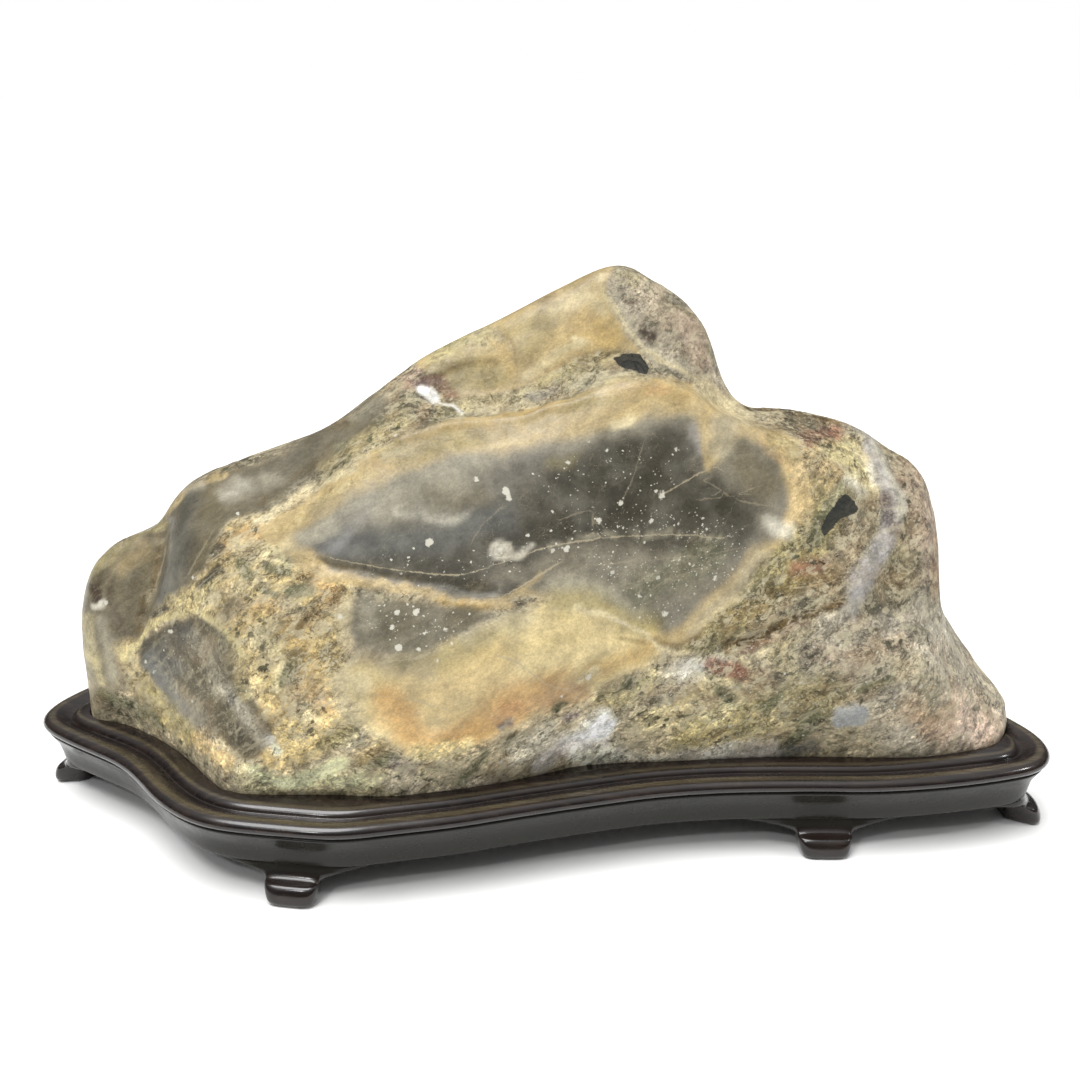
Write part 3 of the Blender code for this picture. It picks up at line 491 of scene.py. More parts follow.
# The same for the far side: x and height in millimetres, as the solid's own.
BACK_MARKS = [
    area("ash", 1.0, 8, [(40, 20), (150, 20), (150, 90), (120, 120), (60, 125)]),
    area("ochre", 1.0, 7, [(-140, 20), (-60, 20), (-70, 60), (-100, 84), (-140, 80)]),
    area("taupe", 0.1, 4, [
        (-110, 96), (-60, 116), (-34, 132), (-10, 122), (-30, 104), (-70, 92), (-100, 84),
    ]),
    area("tan", 0.1, 5, [
        (-84, 64), (-50, 92), (-6, 116), (28, 122), (44, 98), (30, 66), (-4, 50), (-52, 46),
    ]),
    area("chert", 0.0, 4, [
        (-66, 66), (-40, 84), (-4, 102), (22, 106), (32, 90), (20, 72), (-8, 60), (-46, 56),
    ]),
    stroke("haze", 0.0, 4, 6, [(-52, 74), (-20, 92), (14, 102)], 0.7),
    stroke("night", 0.0, 5, 7, [(-40, 66), (-4, 74), (20, 86)], 0.6),
    stroke("butter", 0.1, 6, 7, [(44, 58), (66, 52), (86, 44)], 0.9),
    stroke("orange", 0.2, 3, 4, [(40, 46), (64, 38), (90, 34)], 0.6),
    stroke("lens_grey", 0.3, 6, 5, [(-112, 50), (-96, 60)], 0.9),
    stroke("haze", 0.3, 4, 5, [(-128, 50), (-124, 68)], 0.7),
    stroke("gold", 0.2, 4, 6, [(10, 132), (26, 148)], 0.6),
    stroke("pepper", 1.0, 8, 8, [(38, 150), (50, 126)], 0.8),
    stroke("lilac", 0.5, 3, 4, [(84, 112), (98, 92), (96, 70), (84, 52)], 0.85),
    stroke("maroon", 1.0, 3, 3, [(66, 108), (76, 104)], 0.8),
    stroke("rust", 1.0, 3, 5, [(106, 92), (114, 70)], 0.6),
    stroke("moss", 1.0, 2, 3, [(-10, 36), (6, 42)], 0.8),
    stroke("moss", 1.0, 2, 3, [(104, 48), (118, 42)], 0.8),
    stroke("blue_grey", 0.2, 3, 2, [(70, 76), (76, 78)]),
    stroke("sage", 0.5, 3, 3, [(-60, 30), (-40, 34)], 0.9),
]

# Thin pale veins and hairline cracks: strength, then the path on the sheet.
FACE_VEINS = [
    (0.70, [
        (330, 558), (380, 568), (430, 574), (472, 573), (516, 557), (552, 546), (622, 537), (680, 535),
        (722, 538),
    ]),
    (0.60, [(501, 597), (520, 586), (542, 573), (560, 563)]),
    (0.30, [(590, 566), (640, 560), (696, 556), (740, 548)]),
    (0.22, [(642, 444), (634, 474), (621, 503)]),
    (0.70, [(662, 495), (688, 480), (712, 467), (722, 470)]),
    (0.45, [(377, 696), (412, 700), (446, 709)]),
    (0.55, [(497, 656), (520, 664), (545, 684), (568, 690)]),
    (0.40, [(372, 664), (412, 658), (444, 646), (486, 622)]),
    (0.45, [(147, 600), (160, 566), (166, 536)]),
    (0.30, [(188, 574), (200, 552), (214, 530)]),
    (0.50, [(612, 309), (628, 335), (655, 355), (690, 380)]),
    (0.20, [(470, 546), (484, 524), (502, 506)]),
    (0.25, [(560, 520), (590, 512), (604, 528)]),
    (0.35, [(592, 518), (594, 528)]),
    (0.30, [(704, 480), (740, 500), (770, 506)]),
    (0.35, [(700, 500), (736, 494), (760, 486)]),
]
BACK_VEINS = [
    (0.60, [(-70, 60), (-40, 72), (-4, 80), (30, 96)]),
    (0.40, [(-20, 58), (-8, 84), (-14, 104)]),
    (0.50, [(40, 60), (62, 66), (90, 58)]),
    (0.50, [(-100, 90), (-76, 100), (-50, 118)]),
]
BASE_LIFT = 0.66  # how much paler the stone is painted near its base, a painted lift against the shade that falls there
BASE_LIFT_HEIGHTS = (-62.0, -34.0)  # that comes in between these heights, counted downward
VEIN_REACH = 4.0  # how far from a vein or a spot its distance is kept
VEIN_NEAR = (0.8, 1.6)  # distances between which a vein's strength fades

# Noise layers: share, size of its features in millimetres, and seed.
WANDER = [((1.0, 9.0, seed), (0.6, 3.2, seed + 3)) for seed in (21, 22)]
RELIEF_WANDER = [((3.0, 7.0, seed),) for seed in (11, 12)]
WORN_GRAIN = ((0.5, 5.0, 1), (0.3, 2.4, 2), (0.2, 1.3, 3))
SWELL = ((0.35, 17.0, 4), (0.12, 8.0, 5))
BACK_FLECKS = ((0.25, 30.0, 31),)

# Numbers that mix a cell's place and a seed into one that looks random.
HASH_AXES = np.array((73856093, 19349663, 83492791))
HASH_SEED = 7919
HASH_STIR = 1274126177
SEED_SHIFT = 13.7  # how far each seed moves the noise

# How far the wander moves marks: on the sheet, and in millimetres on the back.
MARK_WANDER = (5.0, 1.6)
FINE_WANDER = (1.2, 0.5)

# White spots: place on the sheet and radius.
FACE_SPOTS = [
    (506, 490, 4.2), (508, 497, 4.0), (430, 542, 4.6), (500, 551, 3.0),
    (607, 450, 2.8), (676, 450, 3.2), (662, 495, 4.6), (656, 492, 2.0), (620, 504, 3.2), (599, 521, 3.6),
    (552, 513, 2.6), (593, 506, 2.2), (580, 511, 2.0), (527, 535, 2.4), (567, 549, 4.0), (476, 479, 3.2),
    (568, 463, 3.0), (664, 418, 2.0), (652, 521, 3.0), (672, 483, 2.2), (646, 526, 2.4),
    (417, 613, 4.0), (397, 614, 3.2), (393, 628, 3.0), (399, 648, 4.2), (340, 617, 2.8), (419, 649, 2.6),
    (446, 630, 2.6), (427, 632, 2.2), (438, 660, 2.0), (716, 578, 3.2), (640, 596, 2.6), (665, 614, 3.4),
    (238, 514, 2.2), (193, 577, 2.0), (170, 632, 2.6), (192, 702, 2.0), (146, 662, 2.0), (155, 672, 2.0),
    # the spot at (426, 391) belongs to the painted glint
    (426, 391, 2.2), (395, 434, 2.6), (588, 680, 2.6),
    (590, 677, 2.4), (562, 696, 2.2), (500, 762, 2.6), (100, 603, 3.0), (107, 603, 2.4), (272, 738, 3.4),
]

# Black angular inclusions, as outlines on the sheet.
FACE_INCLUSIONS = [
    [(612, 359), (622, 355), (641, 354), (644, 361), (650, 367), (647, 373), (636, 371), (622, 368)],
    [(846, 493), (852, 499), (859, 508), (856, 513), (840, 519),
     (832, 530), (824, 536), (820, 530), (827, 514), (838, 499)],
]
BACK_INCLUSIONS = [
    [(58, 92), (64, 96), (66, 91), (61, 87)],
    [(-88, 70), (-83, 72), (-81, 68), (-86, 66)],
]

# Where the white flecks are dense, as strokes on the sheet: density, half width, softness, path.
FACE_FLECKS = [
    (0.55, 10, 14, [(390, 568), (470, 566), (520, 556)]),
    (0.95, 12, 16, [(560, 540), (640, 522), (720, 530)]),
    (0.95, 20, 18, [(610, 568), (690, 572), (726, 552)]),
    (0.70, 14, 14, [(640, 600), (672, 612)]),
    (0.60, 16, 12, [(380, 622), (450, 626)]),
    (0.40, 14, 14, [(180, 650), (230, 700)]),
    (0.90, 9, 8, [(230, 768), (330, 786), (470, 780)]),
    (0.55, 12, 12, [(440, 776), (560, 734), (660, 690)]),
    (0.45, 40, 30, [(720, 700), (840, 680), (940, 690)]),
    (0.30, 24, 20, [(560, 480), (660, 470)]),
]

# Relief too fine for the solid, on the sheet: height in millimetres, half width, path.
FACE_RELIEF = [
    (-0.55, 4.0, [(395, 430), (440, 415), (490, 411), (540, 404), (590, 385), (626, 371), (664, 373)]),
    (0.50, 5.0, [(400, 440), (446, 424), (520, 416), (590, 396)]),
    (0.55, 4.5, [(607, 282), (612, 309), (628, 335), (655, 355), (700, 388)]),
    (0.45, 7.0, [(717, 418), (712, 440), (703, 456), (712, 468)]),
    (-0.40, 8.0, [(688, 430), (690, 456)]),
    (-0.90, 5.0, [(166, 524), (161, 560), (148, 600), (136, 640)]),
    (-0.16, 5.0, [(498, 332), (510, 348), (518, 370)]),
    (-0.22, 7.0, [(432, 388), (446, 374), (468, 368), (498, 366)]),
    (-0.60, 5.0, [(322, 562), (380, 574), (440, 583), (492, 592)]),
    (0.30, 4.5, [(330, 578), (377, 588), (428, 597), (479, 604)]),
    (0.45, 5.0, [(556, 613), (606, 620), (640, 634), (672, 648)]),
    (-1.00, 6.0, [(732, 645), (764, 634), (800, 618), (838, 602)]),
    (-0.90, 9.0, [(846, 622), (884, 612), (930, 606)]),
    (0.60, 12.0, [(800, 590), (770, 610), (720, 632)]),
    (-0.50, 5.0, [(770, 560), (740, 590), (700, 620)]),
    (-0.60, 8.0, [(752, 420), (790, 424), (826, 428)]),
    (-0.40, 6.0, [(232, 548), (262, 556), (300, 560)]),
    (-0.50, 5.0, [(296, 640), (318, 612), (336, 604)]),
    (-0.45, 5.0, [(276, 600), (262, 640), (268, 690)]),
    (0.40, 8.0, [(216, 580), (240, 600), (250, 640)]),
    (-0.50, 6.0, [(470, 784), (500, 752), (560, 728)]),
    (-0.50, 6.0, [(780, 744), (812, 716), (840, 690)]),
    (-0.40, 6.0, [(730, 744), (764, 712), (790, 690)]),
    (0.50, 9.0, [(880, 690), (930, 680), (960, 710)]),
    (0.60, 9.0, [(862, 440), (882, 470), (897, 502), (890, 542), (868, 572), (848, 592)]),
    (-0.80, 9.0, [(884, 446), (912, 500), (908, 550), (884, 590)]),
    (-0.50, 7.0, [(800, 640), (860, 640), (930, 620)]),
    (-0.40, 7.0, [(700, 700), (760, 690), (840, 700)]),
    (-0.60, 5.0, [(420, 404), (432, 397), (448, 402)]),
    (0.35, 5.0, [(128, 656), (141, 636), (162, 621), (188, 613), (206, 615), (226, 633)]),
    (-0.40, 10.0, [(180, 640), (210, 680), (236, 720)]),
    (-0.50, 6.0, [(300, 760), (340, 730), (360, 700)]),
    (-0.50, 8.0, [(480, 760), (560, 724), (640, 700)]),
]
RELIEF_SEEN = (0.0, 0.25)  # facing over which the relief comes in
RELIEF_HEIGHTS = (24.0, 30.0)  # heights between which the stone is free of its seat
GRAIN_RELIEF = 1.6  # the worn grain's height, as a multiple of the relief setting
SMOOTH_SWELL = 0.4  # the share of the swell that smooth stone keeps

# ---------------------------------------------------------------- textures
# Tones. A field of noise (features per millimetre, detail, roughness, distortion) is graded between
# two of its levels, and given the tones at them.
TONES = {
    "grit": ((1.3, 4.0, 0.75), (0.36, 0.64, 0.56, 1.40)),
    "patchy": ((0.10, 3.0), (0.40, 0.62, 0.45, 1.15)),
    "cloud": ((0.075, 7.0, 0.66), (0.34, 0.66, 0.78, 1.20)),
    "streak": ((0.2, 8.0, 0.74, 0.6), (0.36, 0.64, 0.84, 1.15)),
    "dust": ((1.7, 4.0, 0.8), (0.34, 0.66, 0.84, 1.16)),
    "vein_width": ((0.22, 4.0), (0.36, 0.66, -0.02, 0.36)),
    "scuff": ((0.5, 5.0), (0.3, 0.7, -0.07, 0.07)),
    "figure": ((0.7, 6.0, 0.65, 0.6), (0.42, 0.68)),
    "smear": ((0.12, 4.0, 0.5), (0.3, 0.7, -0.05, 0.08)),
    "fibre": ((0.05, 4.0), (0.3, 0.7, 0.985, 1.0)),
}
# Fields that are used as they are. Those that make an edge ragged come with how far they move it.
MATRIX = (0.30, 9.0, 0.72)
PORES = (2.2, 3.0, 0.5)
CARVED = (0.22, 2.0, 0.5)
RAGGED_VEIN = ((0.8, 5.0, 0.7), 0.75)
RAGGED_SPOT = ((0.9, 4.0, 0.65), 0.75)
RAGGED_INCLUSION = ((0.8, 4.0), 0.6)
# Thin lines: the field, the level of it that they follow, and how far off they end and are full.
LINES = {
    "pale_wisp": ((0.075, 8.0, 0.6, 1.2), 0.5, 0.030, 0.004),
    "dark_wisp": ((0.075, 8.0, 0.6, 1.2), 0.42, 0.030, 0.004),
    "crack": ((0.13, 6.0, 0.68, 0.5), 0.5, 0.014, 0.003),
    "hair": ((0.11, 5.0, 0.6, 0.3), 0.5, 0.004, 0.001),
}
# Patches: size in millimetres, amount, softness and detail.
PATCHES = {
    "iron": (9.0, 0.40, 0.08, 5.0),
    "crumbs": (3.0, 0.34, 0.03, 7.0),
    "fine_crumbs": (0.9, 0.24, 0.03, 3.0),
    "gathered": (14.0, 0.45, 0.12, 3.0),
    "veil": (9.0, 0.34, 0.16, 7.0),
    "pale_wood": (6.0, 0.4, 0.12, 3.0),
}
CLAST_PATCH = (0.34, 0.03, 5.0)  # the same without a size, which is a setting
# How much of its colour each of them lays on.
STRENGTHS = {
    "pale_wisp": 0.42,
    "dark_wisp": 0.34,
    "iron": 0.20,
    "crumbs": 0.55,
    "fine_crumbs": 0.45,
    "clasts": 0.85,
    "crack": 0.7,
    "veil": 0.10,
    "hair": 0.22,
    "tiny_flecks": 0.75,
    "large_flecks": 0.8,
    "white": 0.85,
    "inclusion": 0.92,
}
MATRIX_TONE = (0.34, 0.66, 0.60, 1.40)  # levels of the matrix, and the tones at them
CRACKED_MATRIX = (0.6, 0.45)  # levels of the matrix from which cracks come in
FRAGMENT_SCALES = (0.16, 0.5)  # angular fragments in a millimetre: the large ones, the small ones
FRAGMENT_TONE = (0.0, 1.0, 0.76, 1.24)  # the darkest and the lightest fragment are the last two
MATRIX_HEIGHT = 1.3  # heights in millimetres that only the light sees
CLAST_HEIGHT = -0.12
CRACK_HEIGHT = -0.22
VEIN_HEIGHT = -0.05
PORE_HEIGHT = 0.02
CARVED_HEIGHT = 0.18
VEIN_EDGE = (0.15, 0.3)  # a vein ends this far beyond its half width, and is full at this share of it
SPOT_EDGE = (0.10, -0.30)  # distances from a spot's edge at which it ends and is full
INCLUSION_EDGE = (-0.1, 0.2)  # depths in an inclusion at which it ends and is full
# White flecks: size as a multiple of the setting, share of the painted density, radius.
FLECKS = {
    "small": (1.0, 0.7, 0.26),
    "tiny": (0.45, 0.7, 0.34),
    "large": (2.2, 0.25, 0.2),
}
FLECK_JOG = (1.2, 0.9)  # the scale and reach of the noise that makes flecks ragged
NICKS = (5.0, 0.3, 0.06)  # nicks in the lacquer: size, density and radius
BEDDING = {
    "rotation": (0.0, math.radians(40.0), math.radians(12.0)),
    "stretch": (2.0, 1.0, 1.0),
}
CROSSING = {
    "rotation": (0.0, math.radians(32.0), 0.0),
    "stretch": (1.4, 1.0, 1.0),
    "shift": (41.0, 17.0, 5.0),
}
PATCH_EDGE = (-0.42, 0.72)  # the noise's level at a patch's edge: its change with the amount, its start
DOT_SPREAD = (0.9, 0.25)  # how uneven dots are in size, and the least of them
DOT_CORE = 0.6  # the share of a dot's radius that is full

# ---------------------------------------------------------------- the stand's moulding
OUTLINE_RING_HEIGHT = 20.6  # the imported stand's ring of points just under its groove
RING_TOLERANCE = 0.02  # how far a point of the ring may be from that height
RIM_STEP = 1.7  # spacing of the sections round the stand
RIM_SMOOTHING = 10  # passes that take the slight corners out of the outline, its size kept
RIM_EASING = 260  # passes that spread the moulding's direction round the tight bends
FOOT_POINTS = 40  # points round a section of a foot
FOOT_SQUARENESS = 0.45  # 1 for round sections, near 0 for square ones
SHARP_ANGLE = math.radians(42.0)  # edges of the moulding sharper than this stay sharp

# Inset from the outline and height, as smooth runs that meet at sharp edges.
APRON_RUN = [
    (5.4, 10.0), (4.2, 10.5), (3.7, 12.0), (3.3, 14.0), (2.5, 16.6), (1.1, 19.0), (0.15, 20.5),
    (0.3, 21.05),
]
BEAD_RUN = [
    (1.05, 21.45), (-0.2, 21.75), (-0.95, 22.3), (-1.2, 23.2), (-0.75, 24.2), (0.3, 24.95), (1.6, 25.2),
    (3.0, 25.0), (4.6, 24.4), (6.1, 23.7), (7.0, 23.4),
]
LIP_RUN = [(7.3, 23.35), (7.7, 24.2), (8.6, 24.95), (10.0, 25.4), (11.8, 25.8)]
RUN_STEPS = 4  # points from one knot of a run to the next

# Feet: the point of the outline that each stands under.
FEET = {
    "left_end": (-148.0, 12.0),
    "front_left": (-65.5, -58.3),
    "front_right": (83.5, -35.5),
    "right_end": (149.6, -13.5),
    "back_right": (78.0, 54.6),
    "back_left": (-80.0, 56.0),
}
# Height, half width, inset of the outer face and of the inner face.
FOOT_SECTIONS = [
    (0.0, 5.2, 0.3, 9.0), (0.35, 6.0, -0.7, 9.5), (1.2, 6.7, -1.3, 9.7), (2.8, 7.2, -1.2, 9.9),
    (4.6, 7.6, -0.6, 10.0), (5.7, 7.8, 0.3, 10.4), (6.3, 8.2, 1.9, 11.0), (6.9, 9.6, 2.9, 12.0),
    (7.6, 12.4, 3.5, 13.0), (8.4, 16.4, 3.9, 13.6), (9.1, 21.0, 4.3, 14.0), (9.8, 26.5, 4.6, 14.4),
    (10.6, 31.0, 5.0, 14.8), (12.5, 32.0, 5.6, 15.0),
]
SEAT_GAP = 0.35  # clearance round the stone in its seat
CREST_RISE = (24.95, 25.2)  # heights between which the bead's crest gets a painted highlight
CREST_FALL = (25.5, 25.25)  # and those over which the painted highlight fades out again, on the lip
APRON_TOP = (21.2, 21.8)  # heights between which the apron gives way to the bead
FOOT_GLOSS = (9.0, 7.0)  # heights below which the feet are glossy

# ---------------------------------------------------------------- lights
ROOM_FALL = 2.6  # how fast the room's light falls from overhead to the horizon
KEY_SPREAD = math.radians(36.0)  # how wide the key light is in the sky
WINDOW_SIZE = (0.12, 0.08)  # in metres, as its distance
WINDOW_DISTANCE = 1.3
# The way from the rock to each window.
WINDOWS = {"front_window": (-0.38, -0.70, 0.72), "right_window": (0.85, -0.20, 0.68)}


# ---------------------------------------------------------------- settings
def display(red, green, blue):
    """Scene-linear colour of display values from 0 to 255, by the sRGB curve."""
    return tuple(((v / 255 + 0.055) / 1.055) ** 2.4 if v > 10 else v / 3294.6 for v in (red, green, blue))


def bare(red, green, blue):
    """A surface's own colour, from how it looks polished and lit on this stage."""
    return tuple(max((value - GLOSS_LIGHT) / KEY_LIGHT, 0.004) for value in display(red, green, blue))


def colour_setting(name, description, colour):
    return bpy.props.FloatVectorProperty(
        name=name, description=description, subtype="COLOR", size=3, min=0.0, max=1.0, default=colour,
    )


def size_setting(name, description, default, low=0.0, **more):
    return bpy.props.FloatProperty(name=name, description=description, default=default, min=low, **more)


def share_setting(name, description, default, low):
    return size_setting(name, description, default, low, max=1.0, subtype="FACTOR")


class StoneSettings(bpy.types.PropertyGroup):
    clast_size: size_setting(
        "Clast size", "Typical width of the dark grains in the breccia, in millimetres", 2.2, 0.5, max=10.0)
    fleck_size: size_setting(
        "Fleck spacing", "Spacing of the small white flecks, in millimetres", 1.5, 0.4, max=6.0)
    relief: size_setting(
        "Breccia relief", "Height of the worn grain in the breccia, in millimetres", 0.30, max=1.0)
    chert_roughness: share_setting("Chert roughness", "Roughness of the smooth dark stone", 0.34, 0.05)
    breccia_roughness: share_setting("Breccia roughness", "Roughness of the grained stone", 0.52, 0.05)
    clast_colour: colour_setting("Clasts", "Dark green-grey grains", bare(80, 82, 70))
    crumb_colour: colour_setting("Crumbs", "Pale grains of the breccia", bare(224, 214, 182))
    iron_colour: colour_setting("Iron stain", "Warm stain between the grains", bare(206, 170, 122))
    crack_colour: colour_setting("Cracks", "Dirt in the fine cracks", bare(86, 74, 56))
    vein_colour: colour_setting("Veins", "Thin calcite veins", bare(196, 184, 156))
    fleck_colour: colour_setting("Flecks", "White flecks and spots", bare(233, 229, 213))
    inclusion_colour: colour_setting("Inclusions", "Black angular inclusions", bare(66, 68, 68))


class StandSettings(bpy.types.PropertyGroup):
    apron_colour: colour_setting("Apron", "Near-black lacquer of the apron and feet", display(36, 35, 31))
    wood_colour: colour_setting("Wood", "Dark body of the lacquered wood", display(20, 15, 14))
    warm_colour: colour_setting("Warm wood", "Lighter streaks under the lacquer", display(47, 36, 30))
    # the crest's colour is a painted highlight along the bead
    crest_highlight_colour: colour_setting("Crest highlight", "Olive brown of the painted crest highlights", display(76, 68, 53))
    lacquer_roughness: share_setting("Lacquer roughness", "Roughness of the lacquer", 0.24, 0.02)
    grain_length: size_setting(
        "Grain length", "Length of the grain's streaks, in millimetres", 40.0, 5.0, max=200.0)


class StageSettings(bpy.types.PropertyGroup):
    floor_colour: colour_setting("Floor", "Plain pale floor", display(246, 246, 245))
    floor_size: size_setting("Floor size", "Width of the floor", 12.0, 1.0, unit="LENGTH")
    low_light: size_setting("Light at the horizon", "Strength of the room light from the sides", 0.05)
    high_light: size_setting("Light overhead", "Strength of the room light from above", 1.55)
    key_strength: size_setting("Key light", "Strength of the broad key light", 2.95)
    window_power: size_setting("Windows", "Power of each of the small bright windows, in watts", 2.0)


# ---------------------------------------------------------------- curves and noise
def smooth_path(points, closed=False, steps=5):
    """A smooth curve through the points, as more points."""
    points = np.array(points, float)
    if len(points) < 3:
        return points
    if closed:
        padded = np.vstack([points[-1:], points, points[:2]])
    else:
        padded = np.vstack([2 * points[:1] - points[1:2], points, 2 * points[-1:] - points[-2:-1]])
    drawn = []
    for a, b, c, d in zip(padded, padded[1:], padded[2:], padded[3:]):
        square = 2 * a - 5 * b + 4 * c - d
        cube = 3 * b - a - 3 * c + d
        for u in np.arange(steps) / steps:
            drawn.append(0.5 * (2 * b + (c - a) * u + square * u * u + cube * u ** 3))
    if not closed:
        drawn.append(points[-1])
    return np.array(drawn)


def path_gap(places, path):
    """Distance from each place to a path of straight pieces."""
    nearest = np.full(len(places), np.inf)
    for start, end in zip(path[:-1], path[1:]):
        run = end - start
        share = np.clip((places - start) @ run / max(run @ run, 1e-9), 0.0, 1.0)
        gap = places - start - share[:, None] * run
        nearest = np.minimum(nearest, np.einsum("ij,ij->i", gap, gap))
    return np.sqrt(nearest)


def inside(places, outline):
    """True where a place lies within a closed outline."""
    found = np.zeros(len(places), bool)
    x, y = places.T
    for (x0, y0), (x1, y1) in zip(outline, np.roll(outline, -1, axis=0)):
        crosses = (y0 > y) != (y1 > y)
        if y0 != y1:
            found ^= crosses & (x < (x1 - x0) * (y - y0) / (y1 - y0) + x0)
    return found


def outline_depth(places, outline):
    """Distance to an outline, positive within it."""
    gap = path_gap(places, np.vstack([outline, outline[:1]]))
    return np.where(inside(places, outline), gap, -gap)


def ease(low, high, values):
    """0 below low, 1 above high, smooth between."""
    share = np.clip((values - low) / (high - low), 0.0, 1.0)
    return share * share * (3 - 2 * share)


def lattice_noise(points, size, seed):
    """Smooth noise from -1 to 1 whose features are about size apart."""
    scaled = points / size + SEED_SHIFT * seed
    cell = np.floor(scaled).astype(np.int64)
    share = scaled - cell
    share = share * share * (3 - 2 * share)
    total = np.zeros(len(points))
    for corner in itertools.product((0, 1), repeat=3):
        mixed = (cell + corner) @ HASH_AXES + HASH_SEED * seed
        mixed = (mixed ^ (mixed >> 13)) * HASH_STIR
        value = ((mixed ^ (mixed >> 16)) & 0xFFFF) / 32767.5 - 1.0
        total += value * np.prod(np.where(corner, share, 1 - share), axis=1)
    return total


def layered(points, layers):
    """Sum of layers of noise, each with its share, its size and its seed."""
    return sum(share * lattice_noise(points, size, seed) for share, size, seed in layers)


def wandering(points, sets):
    """A sideways and an upward shift, each from its own layers of noise."""
    return np.stack([layered(points, layers) for layers in sets], axis=1)


# ---------------------------------------------------------------- meshes
def mesh_arrays(mesh):
    """Points and normals of a mesh, the points in millimetres."""
    points = np.empty(len(mesh.vertices) * 3)
    normals = np.empty(len(mesh.vertices) * 3)
    mesh.vertices.foreach_get("co", points)
    mesh.vertices.foreach_get("normal", normals)
    return points.reshape(-1, 3) / MM, normals.reshape(-1, 3)


def set_points(mesh, points, box):
    """Moves the mesh's points, kept within the box of the solid that it stands for."""
    low, high = (np.array(corner) / MM for corner in box)
    mesh.vertices.foreach_set("co", (np.clip(points, low, high) * MM).ravel())
    mesh.update()


def add_object(name, data):
    placed = bpy.data.objects.new(name, data)
    bpy.context.scene.collection.objects.link(placed)
    return placed


def applied(placed):
    """The object with its modifiers made part of its mesh."""
    graph = bpy.context.evaluated_depsgraph_get()
    mesh = bpy.data.meshes.new_from_object(placed.evaluated_get(graph))
    placed.modifiers.clear()
    placed.data = mesh
    return placed


def add_value(mesh, name, values):
    mesh.attributes.new(name, "FLOAT", "POINT").data.foreach_set("value", values.astype(np.float32))


def add_colour(mesh, name, colours):
    full = np.column_stack([colours, np.ones(len(colours))]).astype(np.float32)
    mesh.attributes.new(name, "FLOAT_COLOR", "POINT").data.foreach_set("color", full.ravel())


# ---------------------------------------------------------------- the stone
def on_sheet(points):
    """Where the lines from the eye to the points cross the sheet."""
    forward = np.array((0.0, math.cos(EYE_PITCH), -math.sin(EYE_PITCH)))
    down = np.array((0.0, -math.sin(EYE_PITCH), -math.cos(EYE_PITCH)))
    away = points - EYE
    depth = away @ forward
    return np.stack([
        SHEET_MIDDLE + SHEET_FOCUS * away[:, 0] / depth,
        SHEET_MIDDLE + SHEET_FOCUS * (away @ down) / depth,
    ], axis=1)


def facing_eye(points, normals):
    """How squarely each point of the surface faces the eye: 1 straight on, 0 edge on."""
    towards = EYE - points
    towards /= np.linalg.norm(towards, axis=1, keepdims=True)
    return np.einsum("ij,ij->i", towards, normals)


def packed_rock():
    """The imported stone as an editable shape, its doubled points merged."""
    shape = bmesh.new()
    shape.from_mesh(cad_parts["rock"].data)
    bmesh.ops.remove_doubles(shape, verts=shape.verts, dist=WELD_GAP * MM)
    return shape


def placed_shape(name, shape):
    """The editable shape as an object of its own."""
    mesh = bpy.data.meshes.new(name)
    shape.to_mesh(mesh)
    shape.free()
    return add_object(name, mesh)


def refined_stone():
    """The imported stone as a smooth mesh, finest on its show face."""
    shape = packed_rock()
    bmesh.ops.join_triangles(
        shape, faces=shape.faces, angle_face_threshold=FLAT_ANGLE, angle_shape_threshold=FLAT_ANGLE)
    stone = placed_shape("stone", shape)
    smooth = stone.modifiers.new("smooth", "SUBSURF")
    smooth.levels = SMOOTH_LEVELS
    smooth.render_levels = SMOOTH_LEVELS
    applied(stone)
    shape = bmesh.new()
    shape.from_mesh(stone.data)
    points, normals = mesh_arrays(stone.data)
    seen = (facing_eye(points, normals) > FINE_FACING) & (points[:, 2] > FINE_HEIGHT)
    shape.verts.ensure_lookup_table()
    edges = [edge for edge in shape.edges if all(seen[vert.index] for vert in edge.verts)]
    bmesh.ops.subdivide_edges(shape, edges=edges, cuts=1, use_grid_fill=True, smooth=FINE_SMOOTHING)
    bmesh.ops.triangulate(shape, faces=[face for face in shape.faces if len(face.verts) > 4])
    shape.to_mesh(stone.data)
    shape.free()
    stone.data.shade_smooth()
    return stone


def coverage(mark, places):
    """How much of a mark covers each place, from 0 to 1."""
    kind, _, _, half, soft, points, strength = mark
    if kind == "area":
        depth = outline_depth(places, smooth_path(points, closed=True, steps=MARK_STEPS))
        return strength * ease(-soft, soft, depth)
    gap = path_gap(places, smooth_path(points, steps=MARK_STEPS))
    return strength * (1.0 - ease(half - soft / 2, half + soft, gap))


def paint(marks, places, colours, grains, weight):
    """Lays the marks over the colours and grains, as far as weight lets them."""
    near = weight > 0.0
    for mark in marks:
        cover = coverage(mark, places[near]) * weight[near]
        colour = np.array(bare(*MINERALS[mark[1]]))
        colours[near] += cover[:, None] * (colour - colours[near])
        grains[near] += cover * (mark[2] - grains[near])


def least(values):
    return np.minimum.reduce(list(values))


def vein_sides(places, veins, unit):
    """Signed distance in millimetres to the nearest vein, and the vein's strength close to it."""
    nearest = np.full(len(places), np.inf)
    side = np.zeros(len(places))
    force = np.zeros(len(places))
    for strength, vein in veins:
        path = smooth_path(vein)
        for start, end in zip(path[:-1], path[1:]):
            run = end - start
            away = places - start
            share = np.clip(away @ run / max(run @ run, 1e-9), 0.0, 1.0)
            gap = np.linalg.norm(away - share[:, None] * run, axis=1)
            closer = gap < nearest
            nearest[closer] = gap[closer]
            side[closer] = np.sign(run[0] * away[closer, 1] - run[1] * away[closer, 0])
            force[closer] = strength
    nearest = nearest * unit
    return side * np.minimum(nearest, VEIN_REACH), force * (1.0 - ease(*VEIN_NEAR, nearest))


